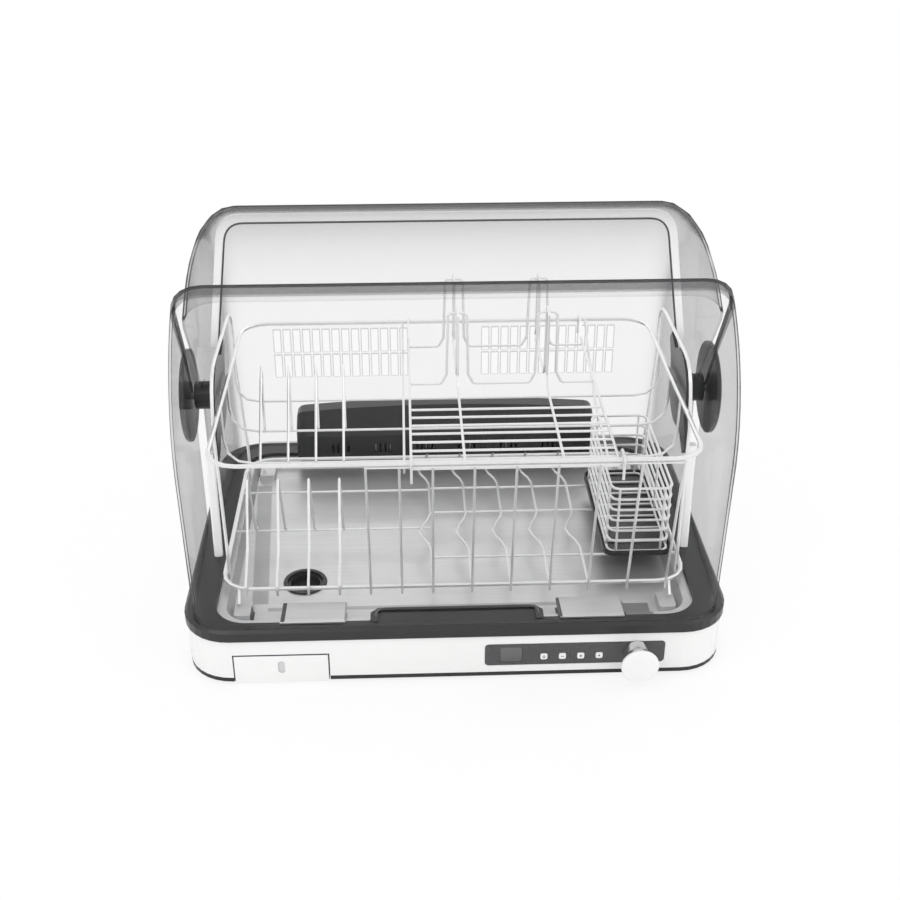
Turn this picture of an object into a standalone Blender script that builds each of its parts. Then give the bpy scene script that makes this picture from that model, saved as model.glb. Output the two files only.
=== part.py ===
import math

import bmesh
import bpy
from mathutils import Vector

# Gap between touching pieces, running clearance of moving ones, overrun of every cut
seat_gap = 0.0003
run_gap = 0.0008
cut_overrun = 0.002

# Base: black bottom plate on rubber feet, white band, black deck
base_width = 0.560
base_depth = 0.396
base_corner = 0.050
base_wall = 0.003
band_inset = 0.002
foot_height = 0.002
foot_radius = 0.009
foot_inset = 0.040
plate_height = 0.006
plate_floor = 0.003
band_height = 0.046
deck_height = 0.013
deck_chamfer = 0.003
deck_ledge = 0.006
deck_ledge_width = 0.007
scoop_half = 0.088
scoop_length = 0.020
scoop_round = 0.008
scoop_depth = 0.0032
scoop_crown = 0.0006
screw_head_radius = 0.0035
screw_radius = 0.0017
screw_length = 0.009
screw_inset = 0.085

# Drip tray, its corner pads and front tabs
tray_margin_x = 0.033
tray_margin_y = 0.022
tray_corner = 0.034
tray_offset = -0.007
tray_sheet = 0.0012
tray_sink = 0.010
tray_flange = 0.010
tray_slope = 0.006
pad_width = 0.020
pad_depth = 0.029
pad_height = 0.007
pad_inset_x = 0.027
pad_inset_y = 0.0352
tab_width = 0.066
tab_depth = 0.034
tab_rise = 0.0024
tab_sheet = 0.0015
tab_reach = 0.0045
tab_left_inset = 0.101
tab_right_inset = 0.110
drain_inset_x = 0.087
drain_inset_y = 0.090
drain_radius = 0.021
drain_flange = 0.003
drain_wall = 0.0016
drain_fall = 0.010
drain_throat = 0.006

# Drain drawer at the lower left of the front
drawer_width = 0.097
drawer_height = 0.034
drawer_face = 0.003
drawer_length = 0.150
drawer_wall = 0.0018
drawer_box_height = 0.024
drawer_corner = 0.004
drawer_inset = 0.1005
drawer_gap = 0.0006
drawer_travel = 0.090
sight_width = 0.007
sight_height = 0.015
sight_depth = 0.0012

# Control panel with window, four keys and a dial
panel_width = 0.184
panel_height = 0.026
panel_corner = 0.004
panel_inset = 0.160
panel_z = 0.030
panel_thickness = 0.0025
panel_proud = 0.0006
window_width = 0.022
window_height = 0.018
window_offset = 0.0655
window_thickness = 0.0016
key_size = 0.0072
key_corner = 0.0016
key_pitch = 0.0189
key_offset = 0.0318
key_drop = 0.0028
key_proud = 0.0008
key_length = 0.0060
key_stem = 0.0022
key_travel = 0.0008
board_height = 0.024
board_thickness = 0.0016
board_setback = 0.0090
dial_offset = 0.063
dial_length = 0.025
dial_neck_radius = 0.0142
dial_face_radius = 0.0192
dial_face_length = 0.003
dial_shaft_radius = 0.003
dial_body_radius = 0.011
dial_body_length = 0.012

# Pivot axis of the covers, and the two clear shells about it
hub_z = 0.234
cover_wall = 0.0025
cover_inset = 0.003
front_swell = 0.007
front_shoulder_drop = 0.0065
front_crown_drop = 0.041
front_round = 0.045
front_angle = 34.0
front_foot_share = 0.951
lip_angle = 3.6
lip_wall = 0.0040
rear_inset = 0.011
rear_shrink = 0.006
rear_shoulder_drop = 0.005
rear_crown_drop = 0.044
rear_round = 0.049
rear_angle = 38.0
rear_foot_share = 0.977
bow_share = 0.35
vent_slot = 0.008
vent_pitch = 0.01185
vent_rise = 0.0295
vent_row_gap = 0.0035
vent_drop = 0.074
vent_inset = 0.095

# Hubs: outer disc on the front cover, inner bracket on the arch, pin between them
hub_radius = 0.050
hub_thickness = 0.005
hub_rim = 0.004
hub_recess = 0.0015
bracket_radius = 0.043
bracket_thickness = 0.004
boss_radius = 0.015
boss_clearance = 0.0022
pin_radius = 0.004
pin_head_radius = 0.009
pin_head = 0.0025

# Arch frame that stiffens the mouth of the rear cover
arch_lean_share = 0.30
arch_shift = 0.040
arch_foot_rise = 0.034
post_top_drop = 0.044
post_top_y = -0.049
post_foot_y = -0.058
bracket_steps = 36
bracket_arm = 0.012
arch_top_drop = 0.029
arch_top_spread = 0.025
arch_foot_inset = 0.0031
arch_corner = 0.026
arch_width = 0.009
arch_thickness = 0.004

# Heater housing across the rear of the tray, with its blower
housing_inset = 0.063
housing_overlap = 0.017
housing_reach = 0.018
housing_rise = 0.069
housing_shoulder = 0.044
housing_slope = 0.016
housing_wall = 0.0025
housing_round = 0.010
housing_sag_share = 0.10
housing_knee_share = 0.8
housing_lean_share = 0.35
housing_end_share = 0.6
grille_slot = 0.0028
grille_rise = 0.013
grille_pitch = 0.0062
grille_group_pitch = 0.052
grille_bottom = 0.012
blower_radius = 0.0125
blower_inset = 0.074
blower_hub = 0.004
blower_blade = 0.0012
blower_disc = 0.002
blower_frame = 0.0015
blower_rise_share = 0.75
blade_root_share = 0.6
blade_tip_share = 0.95
motor_radius = 0.012
motor_length = 0.034
motor_body_share = 0.8
heater_depth = 0.006
heater_height = 0.022
heater_fin = 0.0010
heater_pitch = 0.009

# Wire racks: wires, upper loop with its cross wires and plate dividers
rim_wire = 0.0024
rod_wire = 0.0015
wire_bite_share = 0.9
steep_share = 0.2
slant_share = 0.7
upper_inset = 0.0385
upper_front_inset = 0.031
upper_rear_inset = 0.022
upper_rise = 0.006
upper_corner = 0.030
upper_floor_drop = 0.020
floor_rows_from_front = (0.129, 0.187, 0.245)
floor_row_drops = (0.070, 0.062, 0.054)
upper_apex_from_front = 0.204
upper_apex_rise = 0.020
divider_count = 4
divider_inset = 0.0365
divider_pitch = 0.0297
divider_round = 0.006

# Lower loop, its dividers, front uprights, wavy wires and side arches
lower_inset = 0.037
lower_front_inset = 0.065
lower_rear_inset = 0.056
lower_rise = 0.0104
lower_corner = 0.030
rack_foot = 0.006
foot_lean_share = 0.7
upright_count = 13
upright_inset = 0.0254
upright_left_share = 0.13333
upright_right_share = 0.16708
left_rows_from_front = (0.195, 0.112)
right_rows_from_front = (0.198, 0.144, 0.052)
divider_apex_from_front = 0.073
divider_apex_rise = 0.0935
divider_knee_from_front = 0.031
divider_knee_rise = 0.0265
wave_depth = 0.012
wave_shares = ((0.0, 0.262), (0.498, 0.771))
arch_wire = 0.0019
arch_wire_rise = 0.044
arch_wire_round = 0.060
arch_front_shift = 0.081
arch_rear_shift = 0.020

# Cup rack that hangs in the upper loop
cup_margin = 0.005
cup_width = 0.205
cup_column_offsets = (0.053, 0.151)
cup_row_insets = (0.136, 0.036)
cup_post_height = 0.084
cup_post_size = 0.024
cup_post_flare = 0.006
cup_post_share = 0.85
cup_rod_inset = 0.018
cup_rod_pitch = 0.018
cup_rod_count = 8

# Cutlery basket over its drip liner
basket_inset = 0.009
basket_width = 0.068
basket_front_inset = 0.048
basket_back_inset = 0.057
basket_height = 0.078
basket_corner = 0.010
basket_rod_count = 6
basket_ring_count = 6
basket_post_shares = (-0.96, 0.0, 0.96)
liner_height = 0.006
liner_wall = 0.0015
liner_margin = 0.003

# Heights and places worked out from the sizes above
plate_z = foot_height
plate_top = plate_z + plate_height
band_z = plate_top + seat_gap
band_top = band_z + band_height
deck_z = band_top + seat_gap
deck_top = deck_z + deck_height
ledge_z = deck_top - deck_ledge
tray_width = base_width - 2 * tray_margin_x
tray_depth = base_depth - 2 * tray_margin_y
tray_top = ledge_z + seat_gap + tray_sheet
tray_floor = tray_top - tray_sink
front_y = -base_depth / 2 + band_inset
tray_front_y = tray_offset - tray_depth / 2
tray_rear_y = tray_offset + tray_depth / 2
scoop_back_y = tray_front_y + scoop_length
tab_left_x = -tray_width / 2 + tab_left_inset
tab_right_x = tray_width / 2 - tab_right_inset
drain_x = -tray_width / 2 + drain_inset_x
drain_y = tray_front_y + drain_inset_y
drawer_x = -base_width / 2 + drawer_inset
panel_x = base_width / 2 - panel_inset
window_x = panel_x - window_offset
key_first_x = panel_x - key_offset
key_z = panel_z - key_drop
dial_x = panel_x + dial_offset
dial_front_y = front_y - panel_proud - dial_length
panel_back_y = front_y - panel_proud + panel_thickness
middle_y = (dial_front_y + base_depth / 2) / 2
front_half = base_width / 2 - cover_inset
front_shoulder_half = front_half - front_shoulder_drop
front_crown_half = front_half - front_crown_drop
front_radius = base_depth / 2 + front_swell
front_shoulder = front_radius - front_round
rear_half = front_half - rear_inset
rear_shoulder_half = rear_half - rear_shoulder_drop
rear_crown_half = rear_half - rear_crown_drop
rear_radius = front_radius - rear_shrink
rear_shoulder = rear_radius - rear_round
vent_bottom = hub_z - vent_drop
vent_middle_x = rear_crown_half - vent_inset
arch_foot_z = hub_z + arch_foot_rise
arch_top_z = hub_z + rear_radius - arch_top_drop
arch_top_half = rear_crown_half + arch_top_spread
arch_foot_half = rear_half - cover_wall - arch_foot_inset
post_top_z = hub_z - post_top_drop
bracket_out = arch_foot_half - arch_width - 4 * seat_gap
housing_half = tray_width / 2 - housing_inset
housing_front_y = tray_rear_y - housing_overlap
housing_back_y = tray_rear_y + housing_reach
blower_half = housing_half - blower_inset
upper_half = base_width / 2 - upper_inset
upper_front_y = -base_depth / 2 + upper_front_inset
upper_rear_y = base_depth / 2 - upper_rear_inset
upper_z = hub_z + upper_rise
floor_rows = [(upper_front_y + back, upper_z - drop) for back, drop in zip(floor_rows_from_front, floor_row_drops)]
upper_apex_y = upper_front_y + upper_apex_from_front
upper_apex_z = upper_z + upper_apex_rise
divider_first_x = -upper_half + divider_inset
lower_half = base_width / 2 - lower_inset
lower_front_y = -base_depth / 2 + lower_front_inset
lower_rear_y = base_depth / 2 - lower_rear_inset
lower_z = tray_top + lower_rise
upright_first_x = -lower_half + upright_inset
upright_y = lower_front_y - rim_wire - rod_wire - seat_gap
left_rows_y = [lower_front_y + back for back in left_rows_from_front]
right_rows_y = [lower_front_y + back for back in right_rows_from_front]
basket_right_x = lower_half - basket_inset
basket_left_x = basket_right_x - basket_width
basket_front_y = lower_front_y + basket_front_inset
basket_back_y = lower_rear_y - basket_back_inset
cup_right_x = basket_left_x - cup_margin
cup_left_x = cup_right_x - cup_width
cup_columns_x = [cup_left_x + offset for offset in cup_column_offsets]
cup_rows_y = [upper_rear_y - inset for inset in cup_row_insets]
cup_rod_first_y = upper_front_y + cup_rod_inset


def clear_scene():
    for obj in list(bpy.data.objects):
        bpy.data.objects.remove(obj, do_unlink=True)


def make_material(name, color, roughness, metallic=0.0, alpha=1.0):
    mat = bpy.data.materials.new(name)
    mat.use_nodes = True
    shader = mat.node_tree.nodes["Principled BSDF"]
    shader.inputs["Base Color"].default_value = (*color, 1.0)
    shader.inputs["Roughness"].default_value = roughness
    shader.inputs["Metallic"].default_value = metallic
    shader.inputs["Alpha"].default_value = alpha
    return mat


def make_object(name, bm, mat, origin=(0.0, 0.0, 0.0), smooth_angle=35.0):
    bmesh.ops.remove_doubles(bm, verts=bm.verts, dist=seat_gap / 100)
    bmesh.ops.recalc_face_normals(bm, faces=bm.faces)
    bmesh.ops.translate(bm, verts=bm.verts, vec=-Vector(origin))
    mesh = bpy.data.meshes.new(name)
    bm.to_mesh(mesh)
    bm.free()
    mesh.shade_smooth()
    mesh.set_sharp_from_angle(angle=math.radians(smooth_angle))
    mesh.materials.append(mat)
    obj = bpy.data.objects.new(name, mesh)
    obj.location = Vector(origin) - Vector((0.0, middle_y, 0.0))
    bpy.context.scene.collection.objects.link(obj)
    return obj


def make_tool(name, bm):
    tool = make_object(name, bm, materials["tool"])
    tool.hide_render = True
    tool.display_type = "WIRE"
    return tool


def combine(obj, tool, operation):
    step = obj.modifiers.new(operation.title(), "BOOLEAN")
    step.operation = operation
    step.solver = "EXACT"
    step.object = tool


def cut(obj, bm, name):
    combine(obj, make_tool(name + "_cutter", bm), "DIFFERENCE")


def fuse(obj, bm, name):
    combine(obj, make_tool(name + "_addition", bm), "UNION")


def rounded_rect(width, depth, radius, steps=5, center=(0.0, 0.0)):
    points = []
    for corner in range(4):
        turn = math.pi / 2 * corner
        mid_x = (width / 2 - radius) * (1 if corner in (0, 3) else -1)
        mid_y = (depth / 2 - radius) * (1 if corner in (0, 1) else -1)
        for step in range(steps + 1):
            angle = turn + math.pi / 2 * step / steps
            points.append((center[0] + mid_x + radius * math.cos(angle),
                           center[1] + mid_y + radius * math.sin(angle)))
    return points


def at_height(points, z):
    return [Vector((x, y, z)) for x, y in points]


def facing_front(points, y):
    return [Vector((x, y, z)) for x, z in points]


def add_loops(bm, loops):
    return [[bm.verts.new(point) for point in loop] for loop in loops]


def bridge(bm, first, second):
    count = len(first)
    for i in range(count):
        j = (i + 1) % count
        bm.faces.new((first[i], first[j], second[j], second[i]))


def add_stack(bm, loops):
    rows = add_loops(bm, loops)
    for first, second in zip(rows, rows[1:]):
        bridge(bm, first, second)
    bm.faces.new(rows[0])
    bm.faces.new(rows[-1])


def add_ring(bm, loops):
    rows = add_loops(bm, loops)
    for first, second in zip(rows, rows[1:] + rows[:1]):
        bridge(bm, first, second)


def add_box(bm, low, high):
    (x0, y0, z0), (x1, y1, z1) = low, high
    base = [(x0, y0), (x1, y0), (x1, y1), (x0, y1)]
    add_stack(bm, [at_height(base, z0), at_height(base, z1)])


def circle(radius, steps):
    return [(radius * math.cos(2 * math.pi * i / steps), radius * math.sin(2 * math.pi * i / steps))
            for i in range(steps)]


def turned_loops(profile, steps, axis, center):
    frames = {"x": lambda u, v, w: (w, u, v), "y": lambda u, v, w: (u, w, v), "z": lambda u, v, w: (u, v, w)}
    place = frames[axis]
    return [[Vector(center) + Vector(place(u, v, along)) for u, v in circle(radius, steps)]
            for radius, along in profile]


def add_turned(bm, profile, steps=24, axis="z", center=(0.0, 0.0, 0.0)):
    add_stack(bm, turned_loops(profile, steps, axis, center))


def add_turned_ring(bm, profile, steps=24, axis="z", center=(0.0, 0.0, 0.0)):
    add_ring(bm, turned_loops(profile, steps, axis, center))


def fillet(points, radius, steps=3):
    path = [Vector(points[0])]
    for before, corner, after in zip(points, points[1:], points[2:]):
        corner = Vector(corner)
        back = (Vector(before) - corner)
        ahead = (Vector(after) - corner)
        half = back.angle(ahead) / 2
        reach = min(radius / math.tan(half), back.length / 2, ahead.length / 2)
        start = corner + back.normalized() * reach
        end = corner + ahead.normalized() * reach
        for step in range(steps + 1):
            t = step / steps
            path.append(start.lerp(corner, t).lerp(corner.lerp(end, t), t))
    path.append(Vector(points[-1]))
    return path


def add_wire(bm, path, radius, closed=False, sides=6):
    count = len(path)
    loops = []
    for i, point in enumerate(path):
        if closed:
            into = (point - path[i - 1]).normalized()
            out = (path[(i + 1) % count] - point).normalized()
        else:
            into = (point - path[i - 1]).normalized() if i else (path[1] - point).normalized()
            out = (path[i + 1] - point).normalized() if i + 1 < count else into
        along = (into + out).normalized()
        side = Vector((0.0, 0.0, 1.0)).cross(into)
        if side.length < steep_share:
            side = Vector((1.0, 0.0, 0.0)) if not i else Vector(last_side)
        side = (side - along * side.dot(along)).normalized()
        if i and side.dot(last_side) < 0:
            side = -side
        last_side = side.copy()
        up = along.cross(side).normalized()
        stretch = 1 / max(along.dot(into), 0.5)
        bend = (out - into)
        bend_dir = bend.normalized() if bend.length > 0.001 else Vector((0.0, 0.0, 0.0))
        loop = []
        for k in range(sides):
            angle = 2 * math.pi * k / sides + math.pi / 2
            offset = side * math.cos(angle) * radius + up * math.sin(angle) * radius
            offset += bend_dir * offset.dot(bend_dir) * (stretch - 1)
            loop.append(point + offset)
        loops.append(loop)
    if closed:
        add_ring(bm, loops)
    else:
        add_stack(bm, loops)


def make_feet():
    for side_name, side in (("left", -1), ("right", 1)):
        for end_name, end in (("front", -1), ("rear", 1)):
            bm = bmesh.new()
            x = side * (base_width / 2 - foot_inset)
            y = end * (base_depth / 2 - foot_inset)
            top = plate_z - seat_gap
            add_turned(bm, ((foot_radius - seat_gap * 3, 0.0), (foot_radius, seat_gap * 3), (foot_radius, top)),
                       16, "z", (x, y, 0.0))
            make_object("foot_%s_%s" % (end_name, side_name), bm, materials["rubber"])


def make_bottom_plate():
    width, depth, corner = base_width - 2 * band_inset, base_depth - 2 * band_inset, base_corner - band_inset
    outer = rounded_rect(width, depth, corner, 8)
    low = rounded_rect(width - 2 * base_wall, depth - 2 * base_wall, corner - base_wall, 8)
    inner = rounded_rect(width - 4 * base_wall, depth - 4 * base_wall, corner - 2 * base_wall, 8)
    bm = bmesh.new()
    add_stack(bm, [at_height(low, plate_z), at_height(outer, plate_z + base_wall / 2), at_height(outer, plate_top),
                   at_height(inner, plate_top), at_height(inner, plate_z + plate_floor)])
    plate = make_object("bottom_plate", bm, materials["black"])
    bm = bmesh.new()
    half = drawer_width / 2 + drawer_gap
    back = front_y + 2 * base_wall + drawer_face
    add_box(bm, (drawer_x - half, front_y - cut_overrun, plate_z - cut_overrun),
            (drawer_x + half, back, plate_top + cut_overrun))
    cut(plate, bm, "drawer_notch")
    bm = bmesh.new()
    for x, y in screw_places():
        add_turned(bm, ((screw_radius + seat_gap, plate_z - cut_overrun), (screw_radius + seat_gap, plate_top)),
                   8, "z", (x, y, 0.0))
    cut(plate, bm, "screw_holes")


def screw_places():
    x = base_width / 2 - screw_inset
    y = base_depth / 2 - base_wall * 4
    return [(-x, y), (x, y), (0.0, y), (0.0, -y)]


def make_screws():
    for number, (x, y) in enumerate(screw_places()):
        bm = bmesh.new()
        top = plate_z - seat_gap
        head = foot_height / 2
        add_turned(bm, ((screw_head_radius, top - head), (screw_head_radius, top), (screw_radius, top),
                        (screw_radius, top + screw_length)), 8, "z", (x, y, 0.0))
        make_object("base_screw_%d" % (number + 1), bm, materials["steel"])


def make_base_shell():
    width, depth, corner = base_width - 2 * band_inset, base_depth - 2 * band_inset, base_corner - band_inset
    outer = rounded_rect(width, depth, corner, 8)
    inner = rounded_rect(width - 2 * base_wall, depth - 2 * base_wall, corner - base_wall, 8)
    bm = bmesh.new()
    add_ring(bm, [at_height(outer, band_z), at_height(outer, band_top), at_height(inner, band_top),
                  at_height(inner, band_z)])
    shell = make_object("base_shell", bm, materials["white"])
    bm = bmesh.new()
    post = screw_radius * 3
    for x, y in screw_places():
        reach = math.copysign(depth / 2 - base_wall / 2, y)
        add_box(bm, (x - post, min(y - post, reach), band_z), (x + post, max(y + post, reach), band_z + screw_length * 1.5))
    fuse(shell, bm, "screw_posts")
    bm = bmesh.new()
    for x, y in screw_places():
        add_turned(bm, ((screw_radius + seat_gap, band_z - cut_overrun),
                        (screw_radius + seat_gap, plate_z + screw_length + seat_gap)), 8, "z", (x, y, 0.0))
    half = drawer_width / 2 + drawer_gap
    drawer_top = plate_z + drawer_height + drawer_gap
    add_box(bm, (drawer_x - half, front_y - cut_overrun, band_z - cut_overrun),
            (drawer_x + half, front_y + base_wall + cut_overrun, drawer_top))
    panel = rounded_rect(panel_width + 2 * seat_gap, panel_height + 2 * seat_gap, panel_corner, 4, (panel_x, panel_z))
    add_stack(bm, [facing_front(panel, front_y - cut_overrun), facing_front(panel, front_y + base_wall + cut_overrun)])
    cut(shell, bm, "front_openings")


def make_deck():
    tray_mid = (0.0, tray_offset)
    chamfer = deck_chamfer
    outer = rounded_rect(base_width, base_depth, base_corner, 8)
    edge = rounded_rect(base_width - 2 * chamfer, base_depth - 2 * chamfer, base_corner - chamfer, 8)
    well_w, well_d = tray_width + 2 * seat_gap, tray_depth + 2 * seat_gap
    well = rounded_rect(well_w, well_d, tray_corner + seat_gap, 8, tray_mid)
    hole = rounded_rect(well_w - 2 * deck_ledge_width, well_d - 2 * deck_ledge_width,
                        tray_corner - deck_ledge_width, 8, tray_mid)
    bm = bmesh.new()
    add_ring(bm, [at_height(outer, deck_z), at_height(outer, deck_top - chamfer), at_height(edge, deck_top),
                  at_height(well, deck_top), at_height(well, ledge_z), at_height(hole, ledge_z),
                  at_height(hole, deck_z)])
    deck = make_object("rim_deck", bm, materials["black"])
    bm = bmesh.new()
    well_front = tray_offset - well_d / 2
    tongue = [(-scoop_half, well_front - deck_chamfer), (scoop_half, well_front - deck_chamfer),
              (scoop_half, scoop_back_y - scoop_round), (scoop_half - scoop_round, scoop_back_y),
              (-scoop_half + scoop_round, scoop_back_y), (-scoop_half, scoop_back_y - scoop_round)]
    add_stack(bm, [at_height(tongue, tray_top + seat_gap), at_height(tongue, deck_top + scoop_crown)])
    fuse(deck, bm, "scoop_tongue")
    bm = bmesh.new()
    inner = scoop_half - scoop_round
    back = scoop_back_y - scoop_round / 2
    front = -base_depth / 2 + 3 * chamfer
    slope = [(front, deck_top + cut_overrun), (front, deck_top - scoop_depth / 3),
             (front + scoop_depth / 3, deck_top - scoop_depth + seat_gap), (well_front - deck_chamfer, deck_top - scoop_depth + seat_gap),
             (back, deck_top - seat_gap * 4), (back, deck_top + cut_overrun)]
    add_stack(bm, [[Vector((-inner, y, z)) for y, z in slope], [Vector((inner, y, z)) for y, z in slope]])
    cut(deck, bm, "scoop_hollow")


def make_tray():
    mid = (0.0, tray_offset)
    sheet = tray_sheet
    slope_w = 2 * (tray_flange + tray_slope)

    def outline(shrink, corner):
        return rounded_rect(tray_width - shrink, tray_depth - shrink, corner, 8, mid)

    lip = outline(0.0, tray_corner)
    shelf = outline(2 * tray_flange, tray_corner - tray_flange)
    bed = outline(slope_w, tray_corner - tray_flange - tray_slope)
    bed_low = outline(slope_w + sheet, tray_corner - tray_flange - tray_slope - sheet / 2)
    shelf_low = outline(2 * tray_flange + sheet, tray_corner - tray_flange - sheet / 2)
    bm = bmesh.new()
    add_stack(bm, [at_height(bed_low, tray_floor - sheet), at_height(shelf_low, tray_top - sheet),
                   at_height(lip, tray_top - sheet), at_height(lip, tray_top),
                   at_height(shelf, tray_top), at_height(bed, tray_floor)])
    tray = make_object("drip_tray", bm, materials["brushed_steel"])
    bm = bmesh.new()
    add_turned(bm, ((drain_radius, tray_floor - sheet - cut_overrun), (drain_radius, tray_floor + cut_overrun)),
               24, "z", (drain_x, drain_y, 0.0))
    cut(tray, bm, "drain_hole")
    bm = bmesh.new()
    for x, y in pad_places():
        base = rounded_rect(pad_width, pad_depth, pad_width / 6, 2, (x, y))
        top = rounded_rect(pad_width - 2 * sheet, pad_depth - 2 * sheet, pad_width / 6, 2, (x, y))
        add_stack(bm, [at_height(base, tray_floor - sheet / 2), at_height(top, tray_floor + pad_height)])
    front = tray_front_y + sheet
    back = front + tab_depth
    over = deck_top + seat_gap
    side = [(back, tray_top - sheet / 2), (back, tray_top + tab_rise), (front, over + tab_sheet),
            (tray_front_y - tab_reach, over + tab_sheet), (tray_front_y - tab_reach, over), (front, over),
            (front, tray_top - sheet / 2)]
    for x in (tab_left_x, tab_right_x):
        add_stack(bm, [[Vector((x + end * tab_width / 2, y, z)) for y, z in side] for end in (-1, 1)])
    fuse(tray, bm, "tray_pads")


def pad_places():
    x = tray_width / 2 - pad_inset_x
    front = tray_front_y + pad_inset_y
    rear = tray_rear_y - tray_flange - tray_slope - pad_depth / 2
    return [(-x, front), (x, front), (-x, rear), (x, rear)]


def make_drain_cup():
    bm = bmesh.new()
    top = tray_floor + seat_gap + drain_wall
    tube = drain_radius - seat_gap
    bottom = tray_floor - drain_fall
    add_turned_ring(bm, ((drain_throat, bottom), (tube, bottom), (tube, top - drain_wall),
                         (tube + drain_flange, top - drain_wall), (tube + drain_flange - drain_wall / 2, top),
                         (tube - drain_wall, top), (tube - drain_wall, top - drain_fall / 3),
                         (tube - 3 * drain_wall, top - drain_fall / 3),
                         (tube - 3 * drain_wall, bottom + drain_wall), (drain_throat, bottom + drain_wall)),
                    28, "z", (drain_x, drain_y, 0.0))
    make_object("drain_cup", bm, materials["black"])


def make_drawer():
    origin = (drawer_x, front_y, plate_z + drawer_height / 2)
    face = rounded_rect(drawer_width, drawer_height, drawer_corner, 4, (drawer_x, plate_z + drawer_height / 2))
    bm = bmesh.new()
    back = front_y + drawer_face
    add_stack(bm, [facing_front(face, front_y - seat_gap), facing_front(face, back)])
    drawer = make_object("drain_drawer", bm, materials["white"], origin)
    bm = bmesh.new()
    half = drawer_width / 2 - drawer_wall
    z0 = plate_z + plate_floor + run_gap
    z1 = z0 + drawer_box_height
    add_box(bm, (drawer_x - half, back - drawer_face / 2, z0), (drawer_x + half, front_y + drawer_length, z1))
    fuse(drawer, bm, "drawer_box")
    bm = bmesh.new()
    inner = half - drawer_wall
    add_box(bm, (drawer_x - inner, back, z0 + drawer_wall),
            (drawer_x + inner, front_y + drawer_length - drawer_wall, z1 + cut_overrun))
    slot = rounded_rect(sight_width, sight_height, sight_width / 2 - seat_gap, 5, (drawer_x, plate_z + drawer_height * 0.55))
    add_stack(bm, [facing_front(slot, front_y - cut_overrun), facing_front(slot, front_y + sight_depth)])
    cut(drawer, bm, "drawer_hollow")


def key_x(number):
    return key_first_x + key_pitch * number


def make_panel():
    shape = rounded_rect(panel_width, panel_height, panel_corner, 4, (panel_x, panel_z))
    y0 = front_y - panel_proud
    y1 = y0 + panel_thickness
    bm = bmesh.new()
    add_stack(bm, [facing_front(shape, y0), facing_front(shape, y1)])
    panel = make_object("control_panel", bm, materials["panel_gray"])
    bm = bmesh.new()
    for number in range(4):
        hole = rounded_rect(key_size + 2 * seat_gap, key_size + 2 * seat_gap, key_corner, 2, (key_x(number), key_z))
        add_stack(bm, [facing_front(hole, y0 - cut_overrun), facing_front(hole, y1 + cut_overrun)])
    glass = rounded_rect(window_width + 2 * seat_gap, window_height + 2 * seat_gap, key_corner, 2, (window_x, panel_z))
    add_stack(bm, [facing_front(glass, y0 - cut_overrun), facing_front(glass, y1 + cut_overrun)])
    add_turned(bm, ((dial_shaft_radius + seat_gap, y0 - cut_overrun), (dial_shaft_radius + seat_gap, y1 + cut_overrun)),
               16, "y", (dial_x, 0.0, panel_z))
    cut(panel, bm, "panel_holes")
    bm = bmesh.new()
    pane = rounded_rect(window_width, window_height, key_corner, 2, (window_x, panel_z))
    add_stack(bm, [facing_front(pane, y0 + seat_gap), facing_front(pane, y0 + seat_gap + window_thickness)])
    make_object("display_window", bm, materials["window_gray"])


def make_keys():
    for number in range(4):
        x = key_x(number)
        y0 = front_y - panel_proud - key_proud
        cap = rounded_rect(key_size, key_size, key_corner, 2, (x, key_z))
        stem = rounded_rect(key_stem, key_stem, key_stem / 4, 2, (x, key_z))
        cap_back = panel_back_y + seat_gap
        flange_back = cap_back + key_proud
        bm = bmesh.new()
        crown = rounded_rect(key_size - key_proud, key_size - key_proud, key_corner * 0.8, 2, (x, key_z))
        flange = rounded_rect(key_size + 2 * key_proud, key_size + 2 * key_proud, key_corner, 2, (x, key_z))
        add_stack(bm, [facing_front(crown, y0), facing_front(cap, y0 + key_proud / 3), facing_front(cap, cap_back),
                       facing_front(flange, cap_back), facing_front(flange, flange_back),
                       facing_front(stem, flange_back), facing_front(stem, y0 + key_length)])
        make_object("key_%d" % (number + 1), bm, materials["key_white"], (x, y0, key_z))


def make_board():
    y0 = front_y + board_setback
    half = panel_width / 2 - panel_corner
    bm = bmesh.new()
    add_box(bm, (panel_x - half, y0, panel_z - board_height / 2), (panel_x + half, y0 + board_thickness, panel_z + board_height / 2))
    board = make_object("control_board", bm, materials["board_green"])
    bm = bmesh.new()
    for number in range(4):
        low = front_y - panel_proud - key_proud + key_length + key_travel + seat_gap
        add_box(bm, (key_x(number) - key_size / 2, low, key_z - key_size / 2),
                (key_x(number) + key_size / 2, y0 + board_thickness / 2, key_z + key_size / 2))
    add_box(bm, (window_x - window_width / 2, panel_back_y + seat_gap, panel_z - window_height / 2),
            (window_x + window_width / 2, y0 + board_thickness / 2, panel_z + window_height / 2))
    for x in (panel_x - half + panel_corner, panel_x + half * 0.2, panel_x + half - panel_corner):
        post = panel_corner
        add_box(bm, (x - post / 2, panel_back_y + seat_gap, panel_z - board_height / 2),
                (x + post / 2, y0 + board_thickness / 2, panel_z - board_height / 2 + post))
    fuse(board, bm, "board_parts")
    bm = bmesh.new()
    add_turned(bm, ((dial_body_radius + seat_gap, y0 - cut_overrun), (dial_body_radius + seat_gap, y0 + board_thickness + cut_overrun)),
               20, "y", (dial_x, 0.0, panel_z))
    cut(board, bm, "encoder_hole")


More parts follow.
